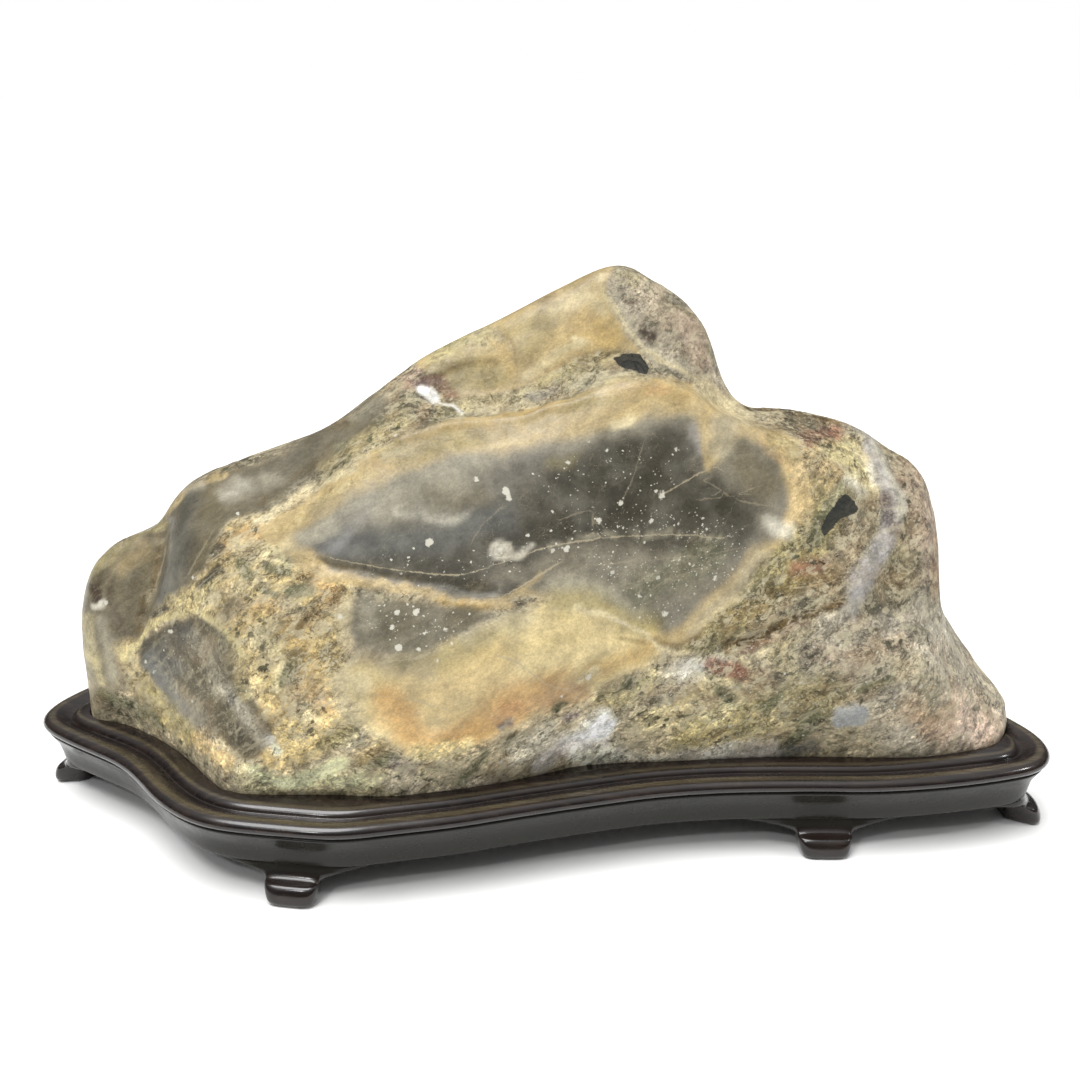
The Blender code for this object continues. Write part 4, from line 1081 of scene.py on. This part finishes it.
def carve_relief(stone, settings):
    """Presses the fine relief into the stone."""
    points, normals = mesh_arrays(stone.data)
    seen = ease(*RELIEF_SEEN, facing_eye(points, normals))
    places = on_sheet(points) + wandering(points, RELIEF_WANDER)
    rise = np.zeros(len(points))
    for height, half, path in FACE_RELIEF:
        gap = path_gap(places, smooth_path(path, steps=MARK_STEPS))
        rise += seen * height * np.exp(-((gap / half) ** 2))
    grain = stone_grain(stone)
    worn = settings.relief * grain * layered(points, WORN_GRAIN) * GRAIN_RELIEF
    swell = layered(points, SWELL) * (SMOOTH_SWELL + (1.0 - SMOOTH_SWELL) * grain)
    rise += ease(*RELIEF_HEIGHTS, points[:, 2]) * (worn + swell)
    set_points(stone.data, points + rise[:, None] * normals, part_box("rock"))


def stone_grain(stone):
    values = np.empty(len(stone.data.vertices), np.float32)
    stone.data.attributes["grain"].data.foreach_get("value", values)
    return values.astype(float)


def evening(normals):
    """How much brighter a mineral is painted, to make up for the light that its slope loses."""
    lit = ROOM_SHARE + KEY_SHARE * np.maximum(normals @ np.array(KEY_WAY), 0.0)
    return np.clip((lit / (ROOM_SHARE + EVEN_SLOPE * KEY_SHARE)) ** -EVENING, *EVEN_LIMITS)


def write_minerals(mesh, points, normals, front):
    """Writes the painted minerals and their grain on the mesh."""
    wander = wandering(points, WANDER)
    on_face, on_back = MARK_WANDER
    colours = np.tile(bare(*MINERALS["ash"]), (len(points), 1))
    grains = np.ones(len(points))
    paint(BACK_MARKS, points[:, (0, 2)] + on_back * wander, colours, grains, 1.0 - front)
    paint(FACE_MARKS, on_sheet(points) + on_face * wander, colours, grains, front)
    colours *= 1.0 + ((evening(normals) - 1.0) * front)[:, None]
    # The stone is painted paler towards its base, to make up for the shade that falls there by the stand.
    pale = 1.0 + BASE_LIFT * ease(*BASE_LIFT_HEIGHTS, -points[:, 2])
    add_colour(mesh, "mineral", np.minimum(colours * pale[:, None], BRIGHTEST))
    add_value(mesh, "grain", grains)


def spot_gap(places):
    """Distance on the sheet to the edge of the nearest white spot, negative within it."""
    return least(np.linalg.norm(places - spot[:2], axis=1) - spot[2] for spot in np.array(FACE_SPOTS))


def inclusion_depth(places, outlines):
    """Depth within the nearest inclusion, negative outside."""
    return -least(-outline_depth(places, np.array(outline, float)) for outline in outlines)


def fleck_density(places):
    density = np.zeros(len(places))
    for most, half, soft, path in FACE_FLECKS:
        cover = 1 - ease(half - soft, half + soft, path_gap(places, smooth_path(path)))
        density = np.maximum(density, most * cover)
    return density


def write_distances(mesh, points, front):
    """Writes the distances to veins, spots and inclusions, and the density of flecks."""
    wander = wandering(points, WANDER)
    on_face, on_back = FINE_WANDER
    shown = front > 0.5
    near = (on_sheet(points) + on_face * wander)[shown]
    far = points[~shown][:, (0, 2)] + on_back * wander[~shown]
    side, vein, spot, black, fleck = np.zeros((5, len(points)))
    side[shown], vein[shown] = vein_sides(near, FACE_VEINS, SHEET_UNIT)
    side[~shown], vein[~shown] = vein_sides(far, BACK_VEINS, 1.0)
    spot[shown] = spot_gap(near) * SHEET_UNIT
    spot[~shown] = VEIN_REACH
    black[shown] = inclusion_depth(near, FACE_INCLUSIONS) * SHEET_UNIT
    black[~shown] = inclusion_depth(far, BACK_INCLUSIONS)
    fleck[shown] = fleck_density(near)
    fleck[~shown] = 0.25 + layered(points[~shown], BACK_FLECKS)
    add_value(mesh, "vein_side", side)
    add_value(mesh, "vein_near", vein)
    add_value(mesh, "spot", np.minimum(spot, VEIN_REACH))
    add_value(mesh, "black", np.maximum(black, -VEIN_REACH))
    add_value(mesh, "fleck", fleck)


def mark_stone(stone):
    """Writes all that the stone's material reads from its mesh."""
    points, normals = mesh_arrays(stone.data)
    front = ease(*FRONT_FADE, facing_eye(points, normals))
    write_minerals(stone.data, points, normals, front)
    write_distances(stone.data, points, front)


# ---------------------------------------------------------------- node building
def feed(tree, node, values):
    """Gives inputs of a node their values: a socket is linked, anything else is set."""
    for key, value in values.items():
        if isinstance(value, bpy.types.NodeSocket):
            tree.links.new(value, node.inputs[key])
        else:
            node.inputs[key].default_value = value
    return node


def put(tree, kind, inputs=None, **settings):
    """Adds a shader node with its settings and its inputs."""
    node = tree.nodes.new("ShaderNode" + kind)
    for name, value in settings.items():
        setattr(node, name, value)
    return feed(tree, node, inputs or {})


def maths(tree, operation, first, second=0.0, third=0.0):
    return put(tree, "Math", {0: first, 1: second, 2: third}, operation=operation).outputs[0]


def times(tree, first, second):
    return maths(tree, "MULTIPLY", first, second)


def plus(tree, first, second):
    return maths(tree, "ADD", first, second)


def greater(tree, first, second):
    return maths(tree, "MAXIMUM", first, second)


def seam(tree, value, middle=0.5):
    """How far a value is from the middle: nothing along the lines where it crosses it."""
    return maths(tree, "ABSOLUTE", maths(tree, "SUBTRACT", value, middle))


def partly(tree, tone, share):
    """The tone where share is 1, and no change of tone where it is 0."""
    return maths(tree, "MULTIPLY_ADD", maths(tree, "SUBTRACT", tone, 1.0), share, 1.0)


def swing(tree, value, reach):
    """A value from 0 to 1 as a shift of up to the reach either way."""
    return maths(tree, "MULTIPLY_ADD", value, 2 * reach, -reach)


def graded(tree, value, low, high, out_low=0.0, out_high=1.0):
    """Smooth step of a value from low to high."""
    given = {"Value": value, 1: low, 2: high, 3: out_low, 4: out_high}
    return put(tree, "MapRange", given, interpolation_type="SMOOTHSTEP").outputs[0]


def blended(tree, share, first, second, mode="MIX"):
    given = {0: share, 6: first, 7: second}
    return put(tree, "Mix", given, data_type="RGBA", blend_type=mode).outputs[2]


def opaque(colour):
    return (*colour, 1.0)


def new_group(name, inputs, outputs):
    """A shader node group with named sockets, and its two end nodes."""
    group = bpy.data.node_groups.new(name, "ShaderNodeTree")
    for label, kind, default in inputs:
        socket = group.interface.new_socket(name=label, in_out="INPUT", socket_type="NodeSocket" + kind)
        if default is not None:
            socket.default_value = default
    for label, kind in outputs:
        group.interface.new_socket(name=label, in_out="OUTPUT", socket_type="NodeSocket" + kind)
    return group, group.nodes.new("NodeGroupInput").outputs, group.nodes.new("NodeGroupOutput").inputs


def blotch_group():
    """Patches of noise: how much of the surface they cover is their amount."""
    group, given, told = new_group(
        "blotches",
        [("Vector", "Vector", None), ("Size", "Float", 2.0), ("Amount", "Float", 0.3),
         ("Softness", "Float", 0.05), ("Detail", "Float", 2.0)],
        [("Mask", "Float")])
    field = noise(group, given["Vector"], maths(group, "DIVIDE", 1.0, given["Size"]), given["Detail"])
    edge = maths(group, "MULTIPLY_ADD", given["Amount"], *PATCH_EDGE)
    low = maths(group, "SUBTRACT", edge, given["Softness"])
    high = plus(group, edge, given["Softness"])
    group.links.new(graded(group, field, low, high), told["Mask"])
    return group


def dots_group():
    """Scattered dots of uneven size: density is the share of cells that hold one."""
    group, given, told = new_group(
        "dots",
        [("Vector", "Vector", None), ("Size", "Float", 2.0),
         ("Density", "Float", 0.5), ("Radius", "Float", 0.25)],
        [("Mask", "Float")])
    scale = maths(group, "DIVIDE", 1.0, given["Size"])
    cells = put(group, "TexVoronoi", {"Vector": given["Vector"], "Scale": scale, "Randomness": 1.0})
    chance = put(group, "SeparateColor", {"Color": cells.outputs["Color"]})
    there = maths(group, "LESS_THAN", chance.outputs[0], given["Density"])
    reach = times(group, given["Radius"], maths(group, "MULTIPLY_ADD", chance.outputs[1], *DOT_SPREAD))
    body = graded(group, cells.outputs["Distance"], reach, times(group, reach, DOT_CORE))
    group.links.new(times(group, there, body), told["Mask"])
    return group


def shared_group(tree, name, build, **inputs):
    """A use of a node group that is built once and shared by the materials."""
    group = bpy.data.node_groups.get(name) or build()
    return put(tree, "Group", inputs, node_tree=group).outputs[0]


def patches(tree, vector, size, amount, softness, detail):
    return shared_group(
        tree, "blotches", blotch_group,
        Vector=vector, Size=size, Amount=amount, Softness=softness, Detail=detail)


def dots(tree, vector, size, density, radius):
    return shared_group(tree, "dots", dots_group, Vector=vector, Size=size, Density=density, Radius=radius)


def new_material(name):
    made = bpy.data.materials.new(name)
    made.use_nodes = True
    return made, made.node_tree, made.node_tree.nodes["Principled BSDF"]


def millimetres(tree, rotation=(0.0, 0.0, 0.0), stretch=(1.0, 1.0, 1.0), shift=(0.0, 0.0, 0.0)):
    """The surface's own coordinates in millimetres, turned and then stretched."""
    own = put(tree, "TexCoord").outputs["Object"]
    turned = put(tree, "Mapping", {"Vector": own, "Rotation": rotation}, vector_type="POINT").outputs[0]
    given = {"Vector": turned, "Scale": tuple(1000.0 / s for s in stretch), "Location": shift}
    return put(tree, "Mapping", given, vector_type="POINT").outputs[0]


def written(tree, name, kind="Fac"):
    return put(tree, "Attribute", attribute_name=name, attribute_type="GEOMETRY").outputs[kind]


def grey(tree, value):
    return put(tree, "CombineColor", {0: value, 1: value, 2: value}).outputs[0]


def noise(tree, vector, scale, detail, roughness=0.6, distortion=0.0):
    shape = {"Scale": scale, "Detail": detail, "Roughness": roughness, "Distortion": distortion}
    return put(tree, "TexNoise", {"Vector": vector, **shape}).outputs["Fac"]


def toning(tree, vector, name):
    """One of the named tones."""
    field, levels = TONES[name]
    return graded(tree, noise(tree, vector, *field), *levels)


def thin_lines(tree, vector, name):
    """One of the named sets of thin lines."""
    field, level, far, near = LINES[name]
    return graded(tree, seam(tree, noise(tree, vector, *field), level), far, near)


def ragged(tree, vector, gap, edge):
    """A distance whose edge wanders with a field of noise."""
    field, reach = edge
    return plus(tree, gap, swing(tree, noise(tree, vector, *field), reach))


def toned(tree, colour, tone):
    """The colour made lighter or darker by a tone."""
    return blended(tree, 1.0, colour, grey(tree, tone), "MULTIPLY")


def bumped(tree, height, strength):
    """The surface's normal, tilted by a height in millimetres."""
    return put(tree, "Bump", {"Height": height, "Strength": strength, "Distance": MM}).outputs[0]


def stained(tree, mask, strength, colour, stain):
    """The colour with a stain over it where the mask says."""
    return blended(tree, times(tree, mask, strength), colour, opaque(stain))


def jogged(tree, vector, scale, reach):
    """The vector moved about by noise, by up to half the reach each way."""
    field = put(tree, "TexNoise", {"Vector": vector, "Scale": scale, "Detail": 3.0}).outputs["Color"]
    moved = put(tree, "VectorMath", {0: field, 1: (reach, reach, reach), 2: vector}, operation="MULTIPLY_ADD")
    return moved.outputs[0]


def fragments(tree, vector, scale):
    """Tone of angular fragments, each a little lighter or darker than its neighbours."""
    broken = jogged(tree, vector, scale * 1.6, 1.2 / scale)
    cells = put(tree, "TexVoronoi", {"Vector": broken, "Scale": scale})
    own = put(tree, "SeparateColor", {"Color": cells.outputs["Color"]})
    return graded(tree, own.outputs[0], *FRAGMENT_TONE)


def breccia_tone(tree, matrix, grain, spaces):
    """Light and dark of the coarse stone: its mottled matrix, its grit and its fragments."""
    plain, _, other = spaces
    large, small = FRAGMENT_SCALES
    grit = toning(tree, other, "grit")
    tone = times(tree, graded(tree, matrix, *MATRIX_TONE), grit)
    patchy = times(tree, grain, toning(tree, plain, "patchy"))
    pieces = times(tree, fragments(tree, other, large), fragments(tree, plain, small))
    return times(tree, partly(tree, tone, patchy), partly(tree, pieces, grain))


def breccia(tree, colour, grain, spaces, settings):
    """Coarse stone: mottled matrix, wisps, iron stain, pale crumbs, dark clasts and cracks."""
    plain, bedding, other = spaces
    crumb, clast = settings.crumb_colour, settings.clast_colour
    matrix = noise(tree, bedding, *MATRIX)
    colour = toned(tree, colour, breccia_tone(tree, matrix, grain, spaces))
    for name, shade in (("pale_wisp", crumb), ("dark_wisp", clast)):
        wisp = times(tree, thin_lines(tree, bedding, name), grain)
        colour = stained(tree, wisp, STRENGTHS[name], colour, shade)
    for name, space, shade in (
        ("iron", other, settings.iron_colour),
        ("crumbs", bedding, crumb),
        ("fine_crumbs", other, crumb),
    ):
        grains = times(tree, patches(tree, space, *PATCHES[name]), grain)
        colour = stained(tree, grains, STRENGTHS[name], colour, shade)
    gathered = patches(tree, plain, *PATCHES["gathered"])
    clasts = times(tree, patches(tree, other, settings.clast_size, *CLAST_PATCH), grain)
    clasts = times(tree, clasts, gathered)
    colour = stained(tree, clasts, STRENGTHS["clasts"], colour, clast)
    cracks = times(tree, thin_lines(tree, other, "crack"), graded(tree, matrix, *CRACKED_MATRIX))
    cracks = times(tree, cracks, grain)
    colour = stained(tree, cracks, STRENGTHS["crack"], colour, settings.crack_colour)
    height = times(tree, maths(tree, "SUBTRACT", matrix, 0.5), times(tree, grain, MATRIX_HEIGHT))
    height = maths(tree, "MULTIPLY_ADD", clasts, CLAST_HEIGHT, height)
    return colour, maths(tree, "MULTIPLY_ADD", cracks, CRACK_HEIGHT, height)


def smooth_stone(tree, colour, smooth, spaces, settings):
    """Dense stone: faint clouds, drawn-out streaks, fine dust and hairline scratches."""
    plain, bedding, other = spaces
    clouds = times(tree, toning(tree, plain, "cloud"), toning(tree, bedding, "streak"))
    colour = toned(tree, colour, times(tree, clouds, toning(tree, other, "dust")))
    veil = times(tree, patches(tree, plain, *PATCHES["veil"]), smooth)
    colour = stained(tree, veil, STRENGTHS["veil"], colour, settings.fleck_colour)
    hair = times(tree, thin_lines(tree, bedding, "hair"), smooth)
    return stained(tree, hair, STRENGTHS["hair"], colour, settings.vein_colour)


def vein_mask(tree, plain):
    """Thin veins that wander and thin out along their way."""
    beyond, core = VEIN_EDGE
    off = maths(tree, "ABSOLUTE", ragged(tree, plain, written(tree, "vein_side"), RAGGED_VEIN))
    half = toning(tree, plain, "vein_width")
    line = graded(tree, off, plus(tree, half, beyond), times(tree, half, core))
    return times(tree, line, written(tree, "vein_near"))


def flecks(tree, vector, density, kind, settings):
    """One of the three kinds of white flecks."""
    size, share, radius = FLECKS[kind]
    return dots(tree, vector, settings.fleck_size * size, times(tree, density, share), radius)


def white_mask(tree, spaces, settings):
    """White spots with ragged edges, and scattered flecks of three sizes."""
    plain, _, other = spaces
    plain = jogged(tree, plain, *FLECK_JOG)
    other = jogged(tree, other, *FLECK_JOG)
    spot = graded(tree, ragged(tree, plain, written(tree, "spot"), RAGGED_SPOT), *SPOT_EDGE)
    density = written(tree, "fleck")
    small = flecks(tree, plain, density, "small", settings)
    tiny = times(tree, flecks(tree, other, density, "tiny", settings), STRENGTHS["tiny_flecks"])
    large = times(tree, flecks(tree, other, density, "large", settings), STRENGTHS["large_flecks"])
    return greater(tree, spot, greater(tree, greater(tree, small, large), tiny))


def stone_material(settings):
    made, tree, shader = new_material("polished_breccia")
    grain = written(tree, "grain")
    smooth = maths(tree, "SUBTRACT", 1.0, grain)
    plain = millimetres(tree)
    other = millimetres(tree, **CROSSING)
    spaces = plain, millimetres(tree, **BEDDING), other
    colour = smooth_stone(tree, written(tree, "mineral", "Color"), smooth, spaces, settings)
    colour, height = breccia(tree, colour, grain, spaces, settings)
    veins = vein_mask(tree, plain)
    colour = stained(tree, veins, 1.0, colour, settings.vein_colour)
    white = white_mask(tree, spaces, settings)
    colour = stained(tree, white, STRENGTHS["white"], colour, settings.fleck_colour)
    black = graded(tree, ragged(tree, plain, written(tree, "black"), RAGGED_INCLUSION), *INCLUSION_EDGE)
    colour = stained(tree, black, STRENGTHS["inclusion"], colour, settings.inclusion_colour)
    rough = graded(tree, grain, 0.0, 1.0, settings.chert_roughness, settings.breccia_roughness)
    feed(tree, shader, {
        "Base Color": colour,
        "Roughness": plus(tree, rough, toning(tree, other, "scuff")),
        "IOR": 1.5,
        "Specular IOR Level": 0.30,
        "Coat Weight": times(tree, smooth, 0.07),
        "Coat Roughness": 0.16,
        "Normal": bumped(tree, maths(tree, "MULTIPLY_ADD", veins, VEIN_HEIGHT, height), 0.8),
    })
    return made


# ---------------------------------------------------------------- the stand
class Rim:
    """The stand's outline at close steps, with the direction inward at each."""

    def __init__(self):
        points, _ = mesh_arrays(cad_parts["stand"].data)
        ring = points[np.abs(points[:, 2] - OUTLINE_RING_HEIGHT) < RING_TOLERANCE][:, :2]
        ring = np.unique(np.round(ring, 2), axis=0)
        ring = ring[np.argsort(np.arctan2(ring[:, 1], ring[:, 0]))]
        dense = smooth_path(ring, closed=True, steps=12)
        closed = np.vstack([dense, dense[:1]])
        way = np.concatenate([[0.0], np.cumsum(np.linalg.norm(np.diff(closed, axis=0), axis=1))])
        wanted = np.linspace(0.0, way[-1], int(way[-1] / RIM_STEP), endpoint=False)
        self.points = np.stack([np.interp(wanted, way, closed[:, k]) for k in (0, 1)], axis=1)
        low, high = self.points.min(axis=0), self.points.max(axis=0)
        for _ in range(RIM_SMOOTHING):
            last, following = np.roll(self.points, 1, axis=0), np.roll(self.points, -1, axis=0)
            self.points += 0.25 * (last - 2 * self.points + following)
        eased_low, eased_high = self.points.min(axis=0), self.points.max(axis=0)
        self.points = low + (self.points - eased_low) * (high - low) / (eased_high - eased_low)
        tangent = np.roll(self.points, -1, axis=0) - np.roll(self.points, 1, axis=0)
        inward = np.stack([-tangent[:, 1], tangent[:, 0]], axis=1)
        inward /= np.linalg.norm(inward, axis=1, keepdims=True)
        for _ in range(RIM_EASING):
            inward += 0.5 * (np.roll(inward, 1, axis=0) + np.roll(inward, -1, axis=0))
            inward /= np.linalg.norm(inward, axis=1, keepdims=True)
        self.inward = inward
        self.way = np.append(wanted, way[-1])

    def ring(self, inset, height):
        flat = self.points + inset * self.inward
        return np.column_stack([flat, np.full(len(flat), height)])

    def place(self, way, inset, height):
        flat = self.points + inset * self.inward
        flat = np.vstack([flat, flat[:1]])
        at = way % self.way[-1]
        return (np.interp(at, self.way, flat[:, 0]), np.interp(at, self.way, flat[:, 1]), height)

    def way_near(self, place):
        return self.way[int(np.argmin(np.linalg.norm(self.points - place, axis=1)))]


def loft(name, rings):
    """A closed skin over rings of equal length, with a flat face at each end."""
    count = len(rings[0])
    points = np.vstack(rings)
    faces = [tuple(range(count)), tuple(range(len(points) - count, len(points)))]
    for i in range(len(rings) - 1):
        for j in range(count):
            k = (j + 1) % count
            faces.append((i * count + j, i * count + k, (i + 1) * count + k, (i + 1) * count + j))
    mesh = bpy.data.meshes.new(name)
    mesh.from_pydata((points * MM).tolist(), [], faces)
    shape = bmesh.new()
    shape.from_mesh(mesh)
    bmesh.ops.recalc_face_normals(shape, faces=shape.faces)
    shape.to_mesh(mesh)
    shape.free()
    return add_object(name, mesh)


def moulding():
    """Points of the moulding from the underside to the lip."""
    points = []
    for run in (APRON_RUN, BEAD_RUN, LIP_RUN):
        points.extend(smooth_path(run, steps=RUN_STEPS))
    return points


def squared(share):
    """Pushes a share of a circle's radius outward, towards a rounded square."""
    return math.copysign(abs(share) ** FOOT_SQUARENESS, share)


def foot(rim, name, place):
    """One foot as a rounded loft from the table up into the block."""
    centre = rim.way_near(place)
    rings = []
    for height, half, outer, inner in smooth_path(FOOT_SECTIONS, steps=3):
        middle = (outer + inner) / 2
        reach = (inner - outer) / 2
        ring = []
        for turn in np.linspace(0.0, 2 * math.pi, FOOT_POINTS, endpoint=False):
            across, inward = squared(math.cos(turn)), squared(math.sin(turn))
            ring.append(rim.place(centre + half * across, middle + reach * inward, height))
        rings.append(np.array(ring))
    return loft(name, rings)


def join(target, other, operation):
    """Adds or cuts one closed shape and drops the tool."""
    cut = target.modifiers.new(operation, "BOOLEAN")
    cut.operation = operation
    cut.object = other
    cut.solver = "MANIFOLD"
    applied(target)
    bpy.data.objects.remove(other)


def seat_cutter():
    """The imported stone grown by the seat's clearance."""
    shape = packed_rock()
    bmesh.ops.recalc_face_normals(shape, faces=shape.faces)
    cutter = placed_shape("seat_cutter", shape)
    grow = cutter.modifiers.new("clearance", "DISPLACE")
    grow.mid_level = 0.0
    grow.strength = SEAT_GAP * MM
    return applied(cutter)


def stand_shape():
    rim = Rim()
    stand = loft("carved_stand", [rim.ring(inset, height) for inset, height in moulding()])
    for name, place in FEET.items():
        join(stand, foot(rim, name, place), "UNION")
    join(stand, seat_cutter(), "DIFFERENCE")
    points, _ = mesh_arrays(stand.data)
    set_points(stand.data, points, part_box("stand"))
    stand.data.shade_smooth()
    stand.data.set_sharp_from_angle(angle=SHARP_ANGLE)
    return stand


def stand_colour(tree, height, along, settings):
    """Dark wood with warm streaks under the lacquer, and a painted highlight along the crest of the bead."""
    streak = toning(tree, along, "figure")
    pale = patches(tree, along, *PATCHES["pale_wood"])
    warm = times(tree, greater(tree, streak, times(tree, pale, 0.6)), 0.8)
    colour = blended(tree, warm, opaque(settings.wood_colour), opaque(settings.warm_colour))
    # a lighter olive brown along the bead's crest, painted as its highlight
    crest = times(tree, graded(tree, height, *CREST_RISE), graded(tree, height, *CREST_FALL))
    crest = times(tree, crest, graded(tree, streak, 0.0, 1.0, 0.55, 1.0))
    return stained(tree, crest, 1.0, colour, settings.crest_highlight_colour)


def stand_material(settings):
    made, tree, shader = new_material("dark_lacquered_hardwood")
    along = millimetres(tree, stretch=(settings.grain_length / 2, 1.0, 1.0))
    plain = millimetres(tree)
    height = put(tree, "SeparateXYZ", {"Vector": plain}).outputs["Z"]
    glossy = greater(tree, graded(tree, height, *APRON_TOP), graded(tree, height, *FOOT_GLOSS))
    colour = stand_colour(tree, height, along, settings)
    rough = plus(tree, toning(tree, plain, "smear"), settings.lacquer_roughness)
    pores = times(tree, noise(tree, along, *PORES), PORE_HEIGHT)
    carved = times(tree, noise(tree, plain, *CARVED), CARVED_HEIGHT)
    feed(tree, shader, {
        "Base Color": blended(tree, glossy, opaque(settings.apron_colour), colour),
        "Roughness": plus(tree, rough, times(tree, dots(tree, plain, *NICKS), 0.3)),
        "Specular IOR Level": 0.22,
        "Coat Weight": times(tree, glossy, 0.65),
        "Coat Roughness": 0.16,
        "Normal": bumped(tree, plus(tree, pores, carved), 0.5),
    })
    return made


# ---------------------------------------------------------------- the stage
def floor_material(settings):
    made, tree, shader = new_material("pale_paper")
    colour = toned(tree, opaque(settings.floor_colour), toning(tree, millimetres(tree), "fibre"))
    feed(tree, shader, {"Base Color": colour, "Roughness": 0.7, "Specular IOR Level": 0.2})
    return made


def add_floor(settings):
    half = settings.floor_size / 2
    mesh = bpy.data.meshes.new("floor")
    corners = [(-half, -half, 0), (half, -half, 0), (half, half, 0), (-half, half, 0)]
    mesh.from_pydata(corners, [], [(0, 1, 2, 3)])
    floor = add_object("floor", mesh)
    mesh.materials.append(floor_material(settings))


def add_room_light(settings):
    """A white room whose light is stronger from above than from the sides."""
    world = bpy.data.worlds.new("room")
    world.use_nodes = True
    tree = world.node_tree
    way = put(tree, "SeparateXYZ", {"Vector": put(tree, "TexCoord").outputs["Generated"]}).outputs["Z"]
    lifted = maths(tree, "POWER", greater(tree, way, 0.0), ROOM_FALL)
    span = {1: 0.0, 2: 1.0, 3: settings.low_light, 4: settings.high_light}
    strength = put(tree, "MapRange", {"Value": lifted, **span})
    seen = put(tree, "LightPath").outputs["Is Camera Ray"]
    strength = put(tree, "Mix", {0: seen, 2: strength.outputs[0], 3: 1.0}, data_type="FLOAT").outputs[0]
    feed(tree, tree.nodes["Background"], {"Color": (1.0, 1.0, 1.0, 1.0), "Strength": strength})
    bpy.context.scene.world = world


def aim(lamp, way):
    """Turns a lamp to shine back along the way that leads to it."""
    lamp.rotation_euler = Vector(way).to_track_quat("Z", "Y").to_euler()


def add_key(settings):
    """A broad key light from above, a little to the left and front."""
    lamp = bpy.data.lights.new("key", "SUN")
    lamp.energy = settings.key_strength
    lamp.angle = KEY_SPREAD
    aim(add_object("key", lamp), KEY_WAY)


def add_window(name, way, settings):
    """A small bright window, for the glints on polish and lacquer. way points from the rock to it."""
    lamp = bpy.data.lights.new(name, "AREA")
    lamp.shape = "RECTANGLE"
    lamp.size, lamp.size_y = WINDOW_SIZE
    lamp.energy = settings.window_power
    placed = add_object(name, lamp)
    placed.location = Vector(way).normalized() * WINDOW_DISTANCE
    aim(placed, way)


def add_camera():
    camera = bpy.data.cameras.new("show_view")
    camera.lens = EYE_LENS
    camera.sensor_width = SENSOR_WIDTH
    camera.clip_start = 0.01
    placed = add_object("show_view", camera)
    placed.location = Vector(EYE) * MM
    placed.rotation_euler = (math.radians(90.0) - EYE_PITCH, 0.0, 0.0)
    bpy.context.scene.camera = placed


# ---------------------------------------------------------------- operators and panel
class ROCK_OT_stage(bpy.types.Operator):
    """Lays the pale floor, the soft light and the camera"""

    bl_idname = "rock.stage"
    bl_label = "Set the stage"

    def execute(self, context):
        settings = context.scene.rock_stage
        add_floor(settings)
        add_room_light(settings)
        add_key(settings)
        for name, way in WINDOWS.items():
            add_window(name, way, settings)
        add_camera()
        context.scene.view_settings.view_transform = "Standard"
        return {"FINISHED"}


class ROCK_OT_stone(bpy.types.Operator):
    """Builds the viewing stone with its minerals and relief"""

    bl_idname = "rock.stone"
    bl_label = "Build the stone"

    def execute(self, context):
        settings = context.scene.rock_stone
        stone = refined_stone()
        mark_stone(stone)
        carve_relief(stone, settings)
        stone.data.materials.clear()
        stone.data.materials.append(stone_material(settings))
        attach(stone, "root")
        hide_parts("rock")
        return {"FINISHED"}


class ROCK_OT_stand(bpy.types.Operator):
    """Builds the carved and lacquered stand"""

    bl_idname = "rock.stand"
    bl_label = "Build the stand"

    def execute(self, context):
        stand = stand_shape()
        stand.data.materials.clear()
        stand.data.materials.append(stand_material(context.scene.rock_stand))
        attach(stand, "root")
        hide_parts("stand")
        return {"FINISHED"}


# Each step with its own settings, in the order that main() takes them.
STEPS = {
    "rock.stage": ("rock_stage", StageSettings),
    "rock.stone": ("rock_stone", StoneSettings),
    "rock.stand": ("rock_stand", StandSettings),
}


class ROCK_PT_panel(bpy.types.Panel):
    """Sizes, colours and steps of the rock and its stand"""

    bl_idname = "ROCK_PT_panel"
    bl_label = "Scholar's rock"
    bl_space_type = "VIEW_3D"
    bl_region_type = "UI"
    bl_category = "Rock"

    def draw(self, context):
        for operator, (settings, _) in STEPS.items():
            box = self.layout.box()
            group = getattr(context.scene, settings)
            for name in group.bl_rna.properties.keys():
                if name not in ("rna_type", "name"):
                    box.prop(group, name)
            box.operator(operator)


CLASSES = (
    StoneSettings, StandSettings, StageSettings, ROCK_OT_stage, ROCK_OT_stone, ROCK_OT_stand, ROCK_PT_panel,
)


def register():
    for kind in CLASSES:
        bpy.utils.register_class(kind)
    for name, kind in STEPS.values():
        setattr(bpy.types.Scene, name, bpy.props.PointerProperty(type=kind))


def unregister():
    for name, _ in STEPS.values():
        delattr(bpy.types.Scene, name)
    for kind in reversed(CLASSES):
        bpy.utils.unregister_class(kind)


def main():
    register()
    bpy.ops.rock.stage()
    bpy.ops.rock.stone()
    bpy.ops.rock.stand()


if __name__ == "__main__":
    main()
